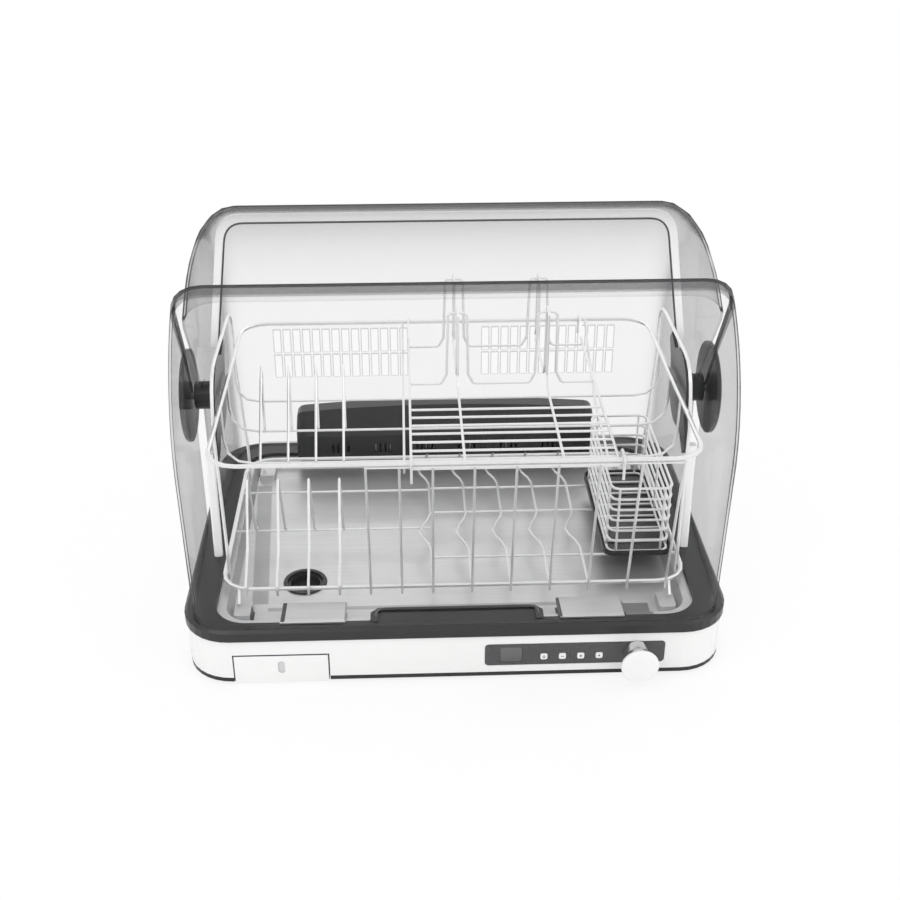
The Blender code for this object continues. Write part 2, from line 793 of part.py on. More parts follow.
def make_dial():
    panel_face = front_y - panel_proud
    neck_back = panel_face - seat_gap * 2
    origin = (dial_x, dial_front_y, panel_z)
    face_back = dial_front_y + dial_face_length
    taper = (dial_face_radius - dial_neck_radius) / 2
    bm = bmesh.new()
    add_turned_ring(bm, ((dial_shaft_radius + seat_gap, neck_back), (dial_neck_radius, neck_back),
                         (dial_neck_radius, face_back + dial_length * 0.4),
                         (dial_neck_radius + taper, face_back + dial_length * 0.12),
                         (dial_face_radius - seat_gap, face_back + seat_gap),
                         (dial_shaft_radius + seat_gap, face_back + seat_gap)), 28, "y", (dial_x, 0.0, panel_z))
    make_object("dial_skirt", bm, materials["brushed_steel"], origin)
    bm = bmesh.new()
    add_turned(bm, ((dial_face_radius - dial_face_length / 3, dial_front_y), (dial_face_radius, dial_front_y + dial_face_length / 3),
                    (dial_face_radius, face_back), (dial_shaft_radius, face_back),
                    (dial_shaft_radius, panel_back_y + board_setback)), 28, "y", (dial_x, 0.0, panel_z))
    make_object("dial_cap", bm, materials["key_white"], origin)
    bm = bmesh.new()
    start = panel_back_y + seat_gap
    end = start + board_setback
    hollow = panel_back_y + board_setback + seat_gap
    add_turned(bm, ((dial_body_radius, end + dial_body_length), (dial_body_radius, start),
                    (dial_shaft_radius + seat_gap, start), (dial_shaft_radius + seat_gap, hollow)), 20, "y", (dial_x, 0.0, panel_z))
    make_object("timer_body", bm, materials["steel"])


def shell_profile(half, shoulder_half, shoulder, crown_half, radius, steps=5):
    side = [(0.0, half), (shoulder * 0.5, (half * bow_share + shoulder_half * (1 - bow_share)))]
    for step in range(steps + 1):
        angle = math.pi / 2 * step / steps
        side.append((shoulder + (radius - shoulder) * math.sin(angle),
                     crown_half + (shoulder_half - crown_half) * math.cos(angle)))
    left = [(r, -x) for r, x in side]
    return left + [(r, x) for r, x in reversed(side)]


def inner_profile(outer, wall):
    inner = []
    last = len(outer) - 1
    for i, (r, x) in enumerate(outer):
        if i in (0, last):
            inner.append((0.0, x - math.copysign(cover_wall, x)))
            continue
        before, after = outer[i - 1], outer[i + 1]
        into = Vector((r - before[0], x - before[1])).normalized()
        out = Vector((after[0] - r, after[1] - x)).normalized()
        along = (into + out).normalized()
        normal = Vector((-along.y, along.x))
        if normal.x * r > 0 and abs(along.y) > slant_share:
            normal = -normal
        if abs(along.x) > slant_share and normal.y * x > 0:
            normal = -normal
        blend = min(1.0, r / hub_radius)
        thick = cover_wall + (wall - cover_wall) * blend
        inner.append((r + normal.x * thick, x + normal.y * thick))
    return inner


def turn_station(angle, sign):
    turn = math.radians(angle)
    return lambda r: (sign * r * math.sin(turn), hub_z + r * math.cos(turn))


def drop_station(share, foot_share, sign):
    squeeze = 1 - (1 - foot_share) * share
    height = hub_z + (deck_top + seat_gap - hub_z) * share
    return lambda r: (sign * r * squeeze, height)


def add_shell(bm, profile, stations):
    rows = []
    for station, wall in stations:
        inside = inner_profile(profile, wall)
        outer_row = [bm.verts.new(Vector((x, *station(r)))) for r, x in profile]
        inner_row = [bm.verts.new(Vector((x, *station(r)))) for r, x in inside]
        rows.append((outer_row, inner_row))
    count = len(profile)
    for (outer_a, inner_a), (outer_b, inner_b) in zip(rows, rows[1:]):
        for i in range(count - 1):
            bm.faces.new((outer_a[i], outer_a[i + 1], outer_b[i + 1], outer_b[i]))
            bm.faces.new((inner_a[i], inner_b[i], inner_b[i + 1], inner_a[i + 1]))
        for i in (0, count - 1):
            bm.faces.new((outer_a[i], outer_b[i], inner_b[i], inner_a[i]))
    for outer_row, inner_row in (rows[0], rows[-1]):
        for i in range(count - 1):
            bm.faces.new((outer_row[i], outer_row[i + 1], inner_row[i + 1], inner_row[i]))


def close_shell(bm):
    bmesh.ops.remove_doubles(bm, verts=bm.verts, dist=seat_gap / 100)
    bmesh.ops.dissolve_degenerate(bm, edges=bm.edges, dist=seat_gap / 100)


def make_front_cover():
    profile = shell_profile(front_half, front_shoulder_half, front_shoulder, front_crown_half, front_radius)
    stations = [(turn_station(front_angle, -1), lip_wall), (turn_station(front_angle + lip_angle, -1), lip_wall)]
    steps = 8
    for step in range(steps + 1):
        angle = front_angle + lip_angle + (90 - front_angle - lip_angle) * step / steps
        stations.append((turn_station(angle, -1), cover_wall))
    stations += [(drop_station(share, front_foot_share, -1), cover_wall) for share in (0.5, 1.0)]
    bm = bmesh.new()
    add_shell(bm, profile, stations)
    close_shell(bm)
    cover = make_object("front_cover", bm, materials["smoke"], (0.0, 0.0, hub_z), 50.0)
    bm = bmesh.new()
    for side in (-1, 1):
        low = side * (front_half + cut_overrun)
        high = side * (front_half - cover_wall - cut_overrun)
        add_turned(bm, ((pin_radius + run_gap, low), (pin_radius + run_gap, high)), 16, "x", (0.0, 0.0, hub_z))
    cut(cover, bm, "front_pin_holes")


def make_rear_cover():
    profile = shell_profile(rear_half, rear_shoulder_half, rear_shoulder, rear_crown_half, rear_radius)
    stations = []
    steps = 15
    for step in range(steps + 1):
        angle = -rear_angle + (90 + rear_angle) * step / steps
        stations.append((turn_station(angle, 1), cover_wall))
    stations += [(drop_station(share, rear_foot_share, 1), cover_wall) for share in (0.5, 1.0)]
    bm = bmesh.new()
    add_shell(bm, profile, stations)
    close_shell(bm)
    cover = make_object("rear_cover", bm, materials["smoke"], (0.0, 0.0, hub_z), 50.0)
    bm = bmesh.new()
    depth = rear_radius * (1 - rear_foot_share) + cover_wall + cut_overrun
    for side in (-1, 1):
        for column in range(14):
            x = side * vent_middle_x + (column - 6.5) * vent_pitch
            for row in range(2):
                z = vent_bottom + row * (vent_rise + vent_row_gap)
                add_box(bm, (x - vent_slot / 2, rear_radius - depth, z), (x + vent_slot / 2, rear_radius + cut_overrun, z + vent_rise))
    cut(cover, bm, "vent_slots")
    bm = bmesh.new()
    for side in (-1, 1):
        add_turned(bm, ((boss_radius + boss_clearance, side * (rear_half + cut_overrun)),
                        (boss_radius + boss_clearance, side * (rear_half - cover_wall - cut_overrun))), 24, "x", (0.0, 0.0, hub_z))
    cut(cover, bm, "boss_holes")


def make_hubs():
    for name, side in (("left", -1), ("right", 1)):
        inner = front_half + seat_gap
        outer = inner + hub_thickness
        hole = pin_radius + seat_gap
        bm = bmesh.new()
        add_turned_ring(bm, ((hole, side * inner), (hub_radius, side * inner), (hub_radius, side * (outer - hub_recess)),
                             (hub_radius - hub_recess, side * outer), (hub_radius - hub_rim, side * outer),
                             (hub_radius - hub_rim - hub_recess, side * (outer - hub_recess)),
                             (hole, side * (outer - hub_recess))), 32, "x", (0.0, 0.0, hub_z))
        make_object("hub_disc_" + name, bm, materials["black"], (side * inner, 0.0, hub_z))
        wall_in = bracket_out
        tip = front_half - cover_wall - boss_clearance
        plate_in = wall_in - bracket_thickness
        bm = bmesh.new()
        loops = turned_loops(((hole, side * plate_in), (boss_radius, side * wall_in), (boss_radius, side * tip),
                              (hole, side * tip)), bracket_steps, "x", (0.0, 0.0, hub_z))
        plate = [[Vector((x, y, z)) for y, z in bracket_outline()] for x in (side * plate_in, side * wall_in)]
        add_ring(bm, [loops[0], plate[0], plate[1], loops[1], loops[2], loops[3]])
        make_object("hub_bracket_" + name, bm, materials["black"], (side * plate_in, 0.0, hub_z))
        bm = bmesh.new()
        head = outer - hub_recess + seat_gap
        add_turned(bm, ((pin_head_radius - pin_head / 3, side * (head + pin_head)), (pin_head_radius, side * (head + pin_head / 2)),
                        (pin_head_radius, side * head), (pin_radius, side * head), (pin_radius, side * plate_in)),
                   16, "x", (0.0, 0.0, hub_z))
        make_object("pivot_pin_" + name, bm, materials["steel"], (side * plate_in, 0.0, hub_z))


def bracket_outline():
    arms = [math.atan2(*arch_foot_at()), math.atan2(*post_top_at())]
    reaches = [math.hypot(*arch_foot_at()), math.hypot(*post_top_at())]
    points = []
    for i in range(bracket_steps):
        angle = 2 * math.pi * i / bracket_steps
        radius = bracket_radius
        for arm, reach in zip(arms, reaches):
            away = angle - arm
            if math.cos(away) > 0.5:
                side = bracket_arm / max(abs(math.sin(away)), 0.01)
                radius = max(radius, min(side, (reach + bracket_arm / 2) / math.cos(away)))
        points.append((radius * math.cos(angle), hub_z + radius * math.sin(angle)))
    return points


def arch_foot_at():
    return arch_foot_z - hub_z, arch_plane_y(arch_foot_z)


def post_top_at():
    return post_top_z - hub_z, post_top_y


def arch_plane_y(z):
    return arch_shift + arch_lean_share * (z - hub_z)


def make_arch():
    top = arch_top_z

    def outline(inset):
        points = [Vector((arch_foot_half - inset, arch_foot_z)), Vector((arch_top_half - inset, top - inset)),
                  Vector((0.0, top - inset))]
        half = fillet(points, arch_corner - inset / 2, 5)
        left = [Vector((-p.x, p.y)) for p in half]
        return left + list(reversed(half))[1:]

    outer, inner = outline(0.0), outline(arch_width)
    loops = []
    for shift in (-arch_thickness / 2, arch_thickness / 2):
        loops.append([Vector((p.x, arch_plane_y(p.y) + shift, p.y)) for p in outer])
        loops.append([Vector((p.x, arch_plane_y(p.y) + shift, p.y)) for p in inner])
    bm = bmesh.new()
    rows = add_loops(bm, loops)
    order = (rows[0], rows[1], rows[3], rows[2])
    for first, second in zip(order, order[1:] + order[:1]):
        for i in range(len(first) - 1):
            bm.faces.new((first[i], first[i + 1], second[i + 1], second[i]))
    for i in (0, -1):
        bm.faces.new([row[i] for row in order])
    make_object("cover_arch", bm, materials["clear_white"])
    foot = deck_top + seat_gap
    for name, side in (("left", -1), ("right", 1)):
        bm = bmesh.new()
        loops = []
        for y, z in ((post_foot_y, foot), (post_top_y, post_top_z)):
            section = rounded_rect(arch_width, arch_width, arch_width / 4, 2,
                                   (side * (arch_foot_half - arch_width / 2), y))
            loops.append(at_height(section, z))
        add_stack(bm, loops)
        make_object("side_post_" + name, bm, materials["clear_white"])


def housing_outline(height):
    front, back = housing_front_y, housing_back_y
    base = tray_top + run_gap
    step = tray_rear_y
    sill = deck_top + seat_gap
    return [(back, sill), (step, sill), (step, base), (front, base), (front, base + housing_shoulder * housing_knee_share), (front + housing_slope * housing_lean_share, base + housing_shoulder),
            (front + housing_slope, base + height), (back, base + height)]


def make_housing():
    bm = bmesh.new()
    loops = []
    steps = 10
    for step in range(steps + 1):
        share = -1 + 2 * step / steps
        height = housing_rise * (1 - housing_sag_share * share * share)
        loops.append([Vector((share * (housing_half - housing_round), y, z)) for y, z in housing_outline(height)])
    base = tray_top + run_gap
    for side, where in ((-1, 0), (1, len(loops))):
        ends = []
        for angle in (30, 60, 90):
            turn = math.radians(angle)
            x = side * (housing_half - housing_round * (1 - math.sin(turn)))
            lower = housing_round * (1 - math.cos(turn))
            height = housing_rise * (1 - housing_sag_share) - lower
            ends.append([Vector((x, y if y > tray_rear_y - seat_gap else y + lower * housing_end_share, z))
                         for y, z in housing_outline(height)])
        if side < 0:
            loops = list(reversed(ends)) + loops
        else:
            loops = loops + ends
    add_stack(bm, loops)
    housing = make_object("heater_housing", bm, materials["black"], smooth_angle=25.0)
    bm = bmesh.new()
    wall = housing_wall
    inner_half = housing_half - housing_round
    cavity = [(housing_back_y - wall, base - cut_overrun), (housing_front_y + wall, base - cut_overrun),
              (housing_front_y + wall, base + housing_shoulder * housing_knee_share),
              (housing_front_y + housing_slope + wall, base + housing_rise * (1 - housing_sag_share) - 2 * wall),
              (housing_back_y - wall, base + housing_rise * (1 - housing_sag_share) - 2 * wall)]
    add_stack(bm, [[Vector((-inner_half, y, z)) for y, z in cavity], [Vector((inner_half, y, z)) for y, z in cavity]])
    cut(housing, bm, "housing_cavity")
    bm = bmesh.new()
    for group in range(6):
        for slot in range(4):
            x = (group - 2.5) * grille_group_pitch + (slot - 1.5) * grille_pitch
            z = base + grille_bottom
            add_box(bm, (x - grille_slot / 2, housing_front_y - cut_overrun, z),
                    (x + grille_slot / 2, housing_front_y + wall + cut_overrun, z + grille_rise))
    cut(housing, bm, "grille_slots")


def blower_center():
    base = tray_top + run_gap
    return (housing_front_y + housing_back_y) / 2, base + housing_shoulder * blower_rise_share


def make_blower():
    y, z = blower_center()
    bm = bmesh.new()
    radius, hub = blower_radius, blower_hub
    profile = []
    discs = 3
    for number in range(discs):
        x = -blower_half + (2 * blower_half - blower_disc) * number / (discs - 1)
        profile += [(hub, x), (radius, x), (radius, x + blower_disc), (hub, x + blower_disc)]
    profile += [(hub, blower_half), (hub, blower_half + blower_frame + 4 * run_gap)]
    profile = [(hub, -blower_half - blower_frame - 4 * run_gap)] + profile
    add_turned(bm, profile, 12, "x", (0.0, y, z))
    rotor = make_object("blower_rotor", bm, materials["black"], (0.0, y, z))
    bm = bmesh.new()
    for blade in range(6):
        angle = 2 * math.pi * blade / 6 + math.pi / 12
        way = Vector((0.0, math.cos(angle), math.sin(angle)))
        across = Vector((0.0, -way.z, way.y)) * blower_blade / 2
        mid = Vector((0.0, y, z))
        ring = [mid + way * radius * blade_root_share - across, mid + way * radius * blade_tip_share - across,
                mid + way * radius * blade_tip_share + across, mid + way * radius * blade_root_share + across]
        half = blower_half - blower_disc / 2
        add_stack(bm, [[p + Vector((-half, 0.0, 0.0)) for p in ring], [p + Vector((half, 0.0, 0.0)) for p in ring]])
    fuse(rotor, bm, "blower_blades")
    bm = bmesh.new()
    start = blower_half + 2 * run_gap + blower_frame + seat_gap
    deep = start + motor_length * 0.2
    add_turned(bm, ((hub + run_gap, deep), (hub + run_gap, start), (motor_radius, start),
                    (motor_radius, start + motor_length * motor_body_share), (hub * 2, start + motor_length * motor_body_share),
                    (hub * 2, start + motor_length)), 16, "x", (0.0, y, z))
    make_object("blower_motor", bm, materials["steel"])
    make_blower_frame(y, z)
    bm = bmesh.new()
    base = tray_top + run_gap
    left = -blower_half
    count = int(2 * blower_half / heater_pitch)
    y0 = housing_front_y + housing_wall + seat_gap
    add_box(bm, (left, y0, base + seat_gap), (blower_half, y0 + heater_depth, base + heater_height / 3))
    heater = make_object("heater_element", bm, materials["steel"])
    bm = bmesh.new()
    for number in range(count):
        x = left + heater_pitch * (number + 0.5)
        add_box(bm, (x, y0 + seat_gap, base + heater_height / 6), (x + heater_fin, y0 + heater_depth - seat_gap, base + heater_height))
    fuse(heater, bm, "heater_fins")


def make_blower_frame(y, z):
    foot = deck_top + seat_gap
    inner = blower_half + 2 * run_gap
    outer = inner + blower_frame
    back = housing_back_y - housing_wall - seat_gap
    front = housing_front_y + housing_wall + seat_gap + heater_depth + run_gap
    high = z + blower_radius / 2
    section = [(-outer, foot), (outer, foot), (outer, high), (inner, high), (inner, foot + blower_frame),
               (-inner, foot + blower_frame), (-inner, high), (-outer, high)]
    bm = bmesh.new()
    add_stack(bm, [facing_front(section, front), facing_front(section, back)])
    frame = make_object("blower_frame", bm, materials["steel"])
    bm = bmesh.new()
    for side in (-1, 1):
        hole = blower_hub + run_gap
        add_turned(bm, ((hole, side * (inner - cut_overrun)), (hole, side * (outer + cut_overrun))),
                   12, "x", (0.0, y, z))
    cut(frame, bm, "bearing_holes")


def loop_path(half, front, rear, corner, z, steps=4):
    center = (0.0, (front + rear) / 2)
    return at_height(rounded_rect(2 * half, rear - front, corner, steps, center), z)


def upright_x(number):
    left = min(number, 6)
    right = number - left
    return upright_first_x + lower_half * (upright_left_share * left + upright_right_share * right)


def make_upper_rack():
    bm = bmesh.new()
    add_wire(bm, loop_path(upper_half, upper_front_y, upper_rear_y, upper_corner, upper_z), rim_wire, True)
    rack = make_object("upper_rack", bm, materials["chrome"], (0.0, 0.0, upper_z))
    bm = bmesh.new()
    for y, z in floor_rows:
        points = [(-upper_half, y, upper_z), (-upper_half, y, z), (upper_half, y, z), (upper_half, y, upper_z)]
        add_wire(bm, fillet(points, upper_corner, 3), rod_wire)
    fuse(rack, bm, "upper_cross_wires")
    bm = bmesh.new()
    lift = 2 * rod_wire * wire_bite_share
    (front_foot_y, front_foot_z), (rear_foot_y, rear_foot_z) = floor_rows[0], floor_rows[1]
    for number in range(divider_count):
        x = divider_first_x + divider_pitch * number
        points = [(x, rear_foot_y + rod_wire * 2, rear_foot_z + lift), (x, rear_foot_y, rear_foot_z + lift),
                  (x, upper_apex_y, upper_apex_z), (x, front_foot_y, front_foot_z + lift),
                  (x, front_foot_y - rod_wire * 2, front_foot_z + lift)]
        add_wire(bm, fillet(points, divider_round, 2), rod_wire)
    for x in (cup_left_x - rim_wire * 3, cup_right_x + rim_wire * 3):
        low = front_foot_z + lift
        points = [(x, upper_rear_y, upper_z), (x, floor_rows[2][0], floor_rows[2][1] + lift),
                  (x, rear_foot_y, rear_foot_z + lift), (x, front_foot_y, low), (x, front_foot_y - upper_corner, low),
                  (x, upper_front_y, upper_z)]
        add_wire(bm, fillet(points, divider_round, 1), rod_wire)
    fuse(rack, bm, "upper_long_wires")


def make_cup_rack():
    floor_z = upper_z - upper_floor_drop + 4 * rod_wire
    top = upper_z + rim_wire + rod_wire + seat_gap
    hook = rim_wire + rod_wire + seat_gap
    bm = bmesh.new()
    for x in (cup_left_x, cup_right_x):
        path = fillet([(x, upper_rear_y + hook, upper_z - upper_floor_drop), (x, upper_rear_y + hook, top),
                       (x, upper_rear_y - 3 * hook, top), (x, upper_rear_y - 6 * hook, floor_z),
                       (x, upper_front_y + 6 * hook, floor_z), (x, upper_front_y + 3 * hook, top),
                       (x, upper_front_y - hook, top), (x, upper_front_y - hook, upper_z - upper_floor_drop)], hook, 2)
        add_wire(bm, path, rod_wire)
    for x in cup_columns_x:
        points = [(x, upper_rear_y - 7 * hook, floor_z)]
        for y in reversed(cup_rows_y):
            points += post_points(y, floor_z, 1, lambda u, z, x=x: (x, u, z), -1)
        points += [(x, cup_rod_first_y, floor_z)]
        add_wire(bm, fillet(points, cup_post_flare / 2, 1), rod_wire)
    rack = make_object("cup_rack", bm, materials["chrome"], (0.0, 0.0, upper_z))
    bm = bmesh.new()
    low = floor_z - 2 * rod_wire * wire_bite_share
    for row in range(cup_rod_count):
        y = cup_rod_first_y + cup_rod_pitch * row
        add_wire(bm, [Vector((cup_left_x, y, low)), Vector((cup_right_x, y, low))], rod_wire)
    for y in cup_rows_y:
        points = [(cup_left_x, y, low)]
        for x in cup_columns_x:
            points += post_points(x, low, 1, lambda u, z, y=y: (u, y, z), 1)
        points += [(cup_right_x, y, low)]
        add_wire(bm, fillet(points, cup_post_flare / 2, 1), rod_wire)
    fuse(rack, bm, "cup_cross_wires")


def post_points(center, floor_z, scale, place, sign):
    half = cup_post_size / 2 * scale
    top = floor_z + cup_post_height
    points = [(center - sign * (half + cup_post_flare), floor_z), (center - sign * half, floor_z + cup_post_flare * 2),
              (center - sign * half * cup_post_share, top), (center + sign * half * cup_post_share, top),
              (center + sign * half, floor_z + cup_post_flare * 2), (center + sign * (half + cup_post_flare), floor_z)]
    return [place(u, z) for u, z in points]


def make_lower_rack():
    bm = bmesh.new()
    add_wire(bm, loop_path(lower_half, lower_front_y, lower_rear_y, lower_corner, lower_z), rim_wire, True)
    rack = make_object("lower_rack", bm, materials["chrome"], (0.0, 0.0, lower_z))
    middle_x = upright_x(6)
    bm = bmesh.new()
    for y in left_rows_y:
        add_wire(bm, [Vector((-lower_half, y, lower_z)), Vector((middle_x, y, lower_z))], rod_wire)
    for y in right_rows_y:
        add_wire(bm, [Vector((middle_x, y, lower_z)), Vector((lower_half, y, lower_z))], rod_wire)
    fuse(rack, bm, "lower_cross_wires")
    bm = bmesh.new()
    lift = lower_z + 2 * rod_wire * wire_bite_share
    for number in range(6, 11):
        add_wire(bm, wave_path(upright_x(number), lift), rod_wire)
    fuse(rack, bm, "lower_wavy_wires")
    bm = bmesh.new()
    for x, y in pad_places():
        foot_x = x + math.copysign(pad_width / 4, x)
        aside = abs(foot_x) - (lower_half - lower_corner)
        ahead = math.sqrt(lower_corner ** 2 - aside ** 2)
        stand_y = lower_front_y + lower_corner - ahead if y < 0 else lower_rear_y - lower_corner + ahead
        lean = (y - stand_y) * foot_lean_share
        foot_end = tray_floor + pad_height + seat_gap + rod_wire * wire_bite_share
        add_wire(bm, [Vector((foot_x, stand_y + lean, foot_end)), Vector((foot_x, stand_y, lower_z))], rod_wire)
    fuse(rack, bm, "lower_feet")


def make_lower_dividers():
    rear_y = left_rows_y[1]
    rear_z = lower_z + 2 * rod_wire + seat_gap
    over_z = lower_z + rim_wire + rod_wire + 4 * seat_gap
    for number in range(divider_count):
        x = upright_x(number)
        points = [(x, rear_y + rod_wire * 2, rear_z), (x, rear_y - rod_wire * 2, rear_z),
                  (x, lower_front_y + divider_apex_from_front, lower_z + divider_apex_rise),
                  (x, lower_front_y + divider_knee_from_front, lower_z + divider_knee_rise),
                  (x, upright_y, over_z), (x, upright_y, lower_z - rack_foot)]
        bm = bmesh.new()
        add_wire(bm, fillet(points, divider_round, 2), rod_wire)
        make_object("lower_divider_%d" % (number + 1), bm, materials["chrome"], (x, upright_y, lower_z))


def make_rack_front():
    top_z = upper_z - rim_wire - rod_wire - seat_gap
    bm = bmesh.new()
    start, end = upright_x(divider_count), upright_x(upright_count - 1)
    add_wire(bm, [Vector((start, upper_front_y, top_z)), Vector((end, upper_front_y, top_z))], rod_wire)
    front = make_object("rack_front", bm, materials["chrome"], (0.0, upright_y, lower_z))
    bm = bmesh.new()
    for number in range(divider_count, upright_count):
        x = upright_x(number)
        add_wire(bm, [Vector((x, upright_y, lower_z - rack_foot)), Vector((x, upright_y, lower_z)),
                      Vector((x, upper_front_y, top_z))], rod_wire)
    fuse(front, bm, "front_uprights")


def make_rack_arches():
    top_x = upper_half + rim_wire + seat_gap + arch_wire
    low_x = lower_half - rim_wire - seat_gap - arch_wire
    foot_z = tray_top + seat_gap
    front = lower_front_y + lower_corner
    rear = lower_rear_y - lower_corner
    top_z = upper_z + arch_wire_rise
    knee_z = lower_z + lower_corner
    side_z = upper_z - upper_floor_drop
    share = (side_z - knee_z) / (top_z - knee_z)
    front_top, rear_top = lower_front_y + arch_front_shift, lower_rear_y - arch_rear_shift
    for name, side in (("left", -1), ("right", 1)):
        points = [(side * low_x, front, foot_z), (side * low_x, front, knee_z),
                  (side * top_x, front + (front_top - front) * share, side_z), (side * top_x, front_top, top_z),
                  (side * top_x, rear_top, top_z), (side * top_x, rear + (rear_top - rear) * share, side_z),
                  (side * low_x, rear, knee_z), (side * low_x, rear, foot_z)]
        bm = bmesh.new()
        add_wire(bm, fillet(points, arch_wire_round, 4), arch_wire)
        make_object("rack_arch_" + name, bm, materials["chrome"], (side * low_x, front, foot_z))


def wave_path(x, z):
    depth = lower_rear_y - lower_front_y
    steps = 6
    points = []
    for start, end in wave_shares:
        for step in range(steps + 1):
            share = start + (end - start) * step / steps
            bulge = wave_depth * math.sin(math.pi * step / steps) ** 2
            points.append(Vector((x - bulge, lower_rear_y - depth * share, z)))
    points.append(Vector((x, lower_front_y, z)))
    return points


def make_basket():
    liner_z = lower_z + rod_wire + seat_gap
    width = basket_right_x - basket_left_x
    depth = basket_back_y - basket_front_y
    mid = ((basket_left_x + basket_right_x) / 2, (basket_front_y + basket_back_y) / 2)
    outer = rounded_rect(width + 2 * liner_margin, depth + 2 * liner_margin, basket_corner, 3, mid)
    inner = rounded_rect(width + 2 * liner_margin - 2 * liner_wall, depth + 2 * liner_margin - 2 * liner_wall,
                         basket_corner - liner_wall, 3, mid)
    bm = bmesh.new()
    add_stack(bm, [at_height(outer, liner_z), at_height(outer, liner_z + liner_height),
                   at_height(inner, liner_z + liner_height), at_height(inner, liner_z + liner_wall)])
    make_object("cutlery_liner", bm, materials["black"], (*mid, liner_z))
    low = liner_z + liner_wall + seat_gap + rod_wire
    half_x, half_y = width / 2 - liner_wall, depth / 2 - liner_wall
    corner = basket_corner - liner_wall
    bm = bmesh.new()
    add_wire(bm, at_height(rounded_rect(2 * half_x, 2 * half_y, corner, 3, mid), low), rod_wire, True)
    basket = make_object("cutlery_basket", bm, materials["chrome"], (*mid, low))
    bm = bmesh.new()
    for number in range(basket_rod_count):
        share = (number + 0.5) / basket_rod_count
        y = mid[1] + (half_y - corner) * (2 * share - 1)
        add_wire(bm, [Vector((mid[0] - half_x, y, low)), Vector((mid[0] + half_x, y, low))], rod_wire)
    fuse(basket, bm, "basket_floor")
    levels = [low + basket_height * (number + 1) / basket_ring_count for number in range(basket_ring_count)]
    foot = low + rod_wire + seat_gap
    for name, side in (("left", -1), ("right", 1)):
        x = mid[0] + side * half_x
        reach = half_y - corner - rod_wire - seat_gap
        runs = [[Vector((x, mid[1] - reach, z)), Vector((x, mid[1] + reach, z))] for z in levels]
        posts = [(x, mid[1] + reach * share) for share in basket_post_shares]
        make_basket_wall("basket_wall_" + name, runs, posts, foot, (x, mid[1], low))
    for name, side in (("front", -1), ("back", 1)):
        y = mid[1] + side * half_y
        runs = [basket_end_path(mid, half_x, y, side, corner, z) for z in levels]
        posts = [(mid[0] + end * (half_x - corner), y) for end in (-1, 1)]
        make_basket_wall("basket_wall_" + name, runs, posts, foot, (mid[0], y, low))


def basket_end_path(mid, half_x, y, side, corner, z):
    tail = y - side * (corner + rod_wire)
    path = [Vector((mid[0] - half_x, tail, z))]
    steps = 2
    for end in (-1, 1):
        for step in range(steps + 1):
            turn = math.pi / 2 * (step if end < 0 else steps - step) / steps
            path.append(Vector((mid[0] + end * (half_x - corner + corner * math.cos(turn)),
                                y - side * corner * (1 - math.sin(turn)), z)))
    path.append(Vector((mid[0] + half_x, tail, z)))
    return path


def make_basket_wall(name, runs, posts, foot, origin):
    bm = bmesh.new()
    top = runs[-1][0].z
    for x, y in posts:
        add_wire(bm, [Vector((x, y, foot)), Vector((x, y, top))], rod_wire * wire_bite_share, sides=4)
    wall = make_object(name, bm, materials["chrome"], origin)
    bm = bmesh.new()
    for run in runs:
        add_wire(bm, run, rod_wire)
    fuse(wall, bm, name + "_runs")


materials = {}


def make_materials():
    materials["tool"] = make_material("tool", (1.0, 0.2, 0.1), 0.5)
    materials["white"] = make_material("white_plastic", (0.86, 0.86, 0.85), 0.25)
    materials["black"] = make_material("black_plastic", (0.035, 0.035, 0.037), 0.35)
    materials["rubber"] = make_material("rubber", (0.03, 0.03, 0.03), 0.8)
    materials["steel"] = make_material("steel", (0.55, 0.55, 0.55), 0.3, 1.0)
    materials["brushed_steel"] = make_material("brushed_steel", (0.60, 0.60, 0.61), 0.35, 1.0)
    materials["chrome"] = make_material("chrome_wire", (0.80, 0.80, 0.82), 0.15, 1.0)
    materials["smoke"] = make_material("smoke_plastic", (0.70, 0.72, 0.72), 0.08, 0.0, 0.3)
    materials["clear_white"] = make_material("clear_frame", (0.90, 0.91, 0.91), 0.15, 0.0, 0.8)
    materials["panel_gray"] = make_material("panel_plastic", (0.09, 0.09, 0.095), 0.3)
    materials["window_gray"] = make_material("display_glass", (0.16, 0.16, 0.17), 0.1)
    materials["key_white"] = make_material("key_plastic", (0.90, 0.90, 0.90), 0.3)
    materials["board_green"] = make_material("circuit_board", (0.05, 0.20, 0.08), 0.5)


def build():
    clear_scene()
    make_materials()
    make_feet()
    make_bottom_plate()
    make_screws()
    make_base_shell()
    make_deck()
    make_tray()
    make_drain_cup()
    make_drawer()
    make_panel()
    make_keys()
    make_board()
    make_dial()
    make_front_cover()
    make_rear_cover()
    make_hubs()
    make_arch()
    make_housing()
    make_blower()
    make_upper_rack()
    make_cup_rack()
    make_lower_rack()
    make_lower_dividers()
    make_rack_front()
    make_rack_arches()
    make_basket()


build()
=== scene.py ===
import math

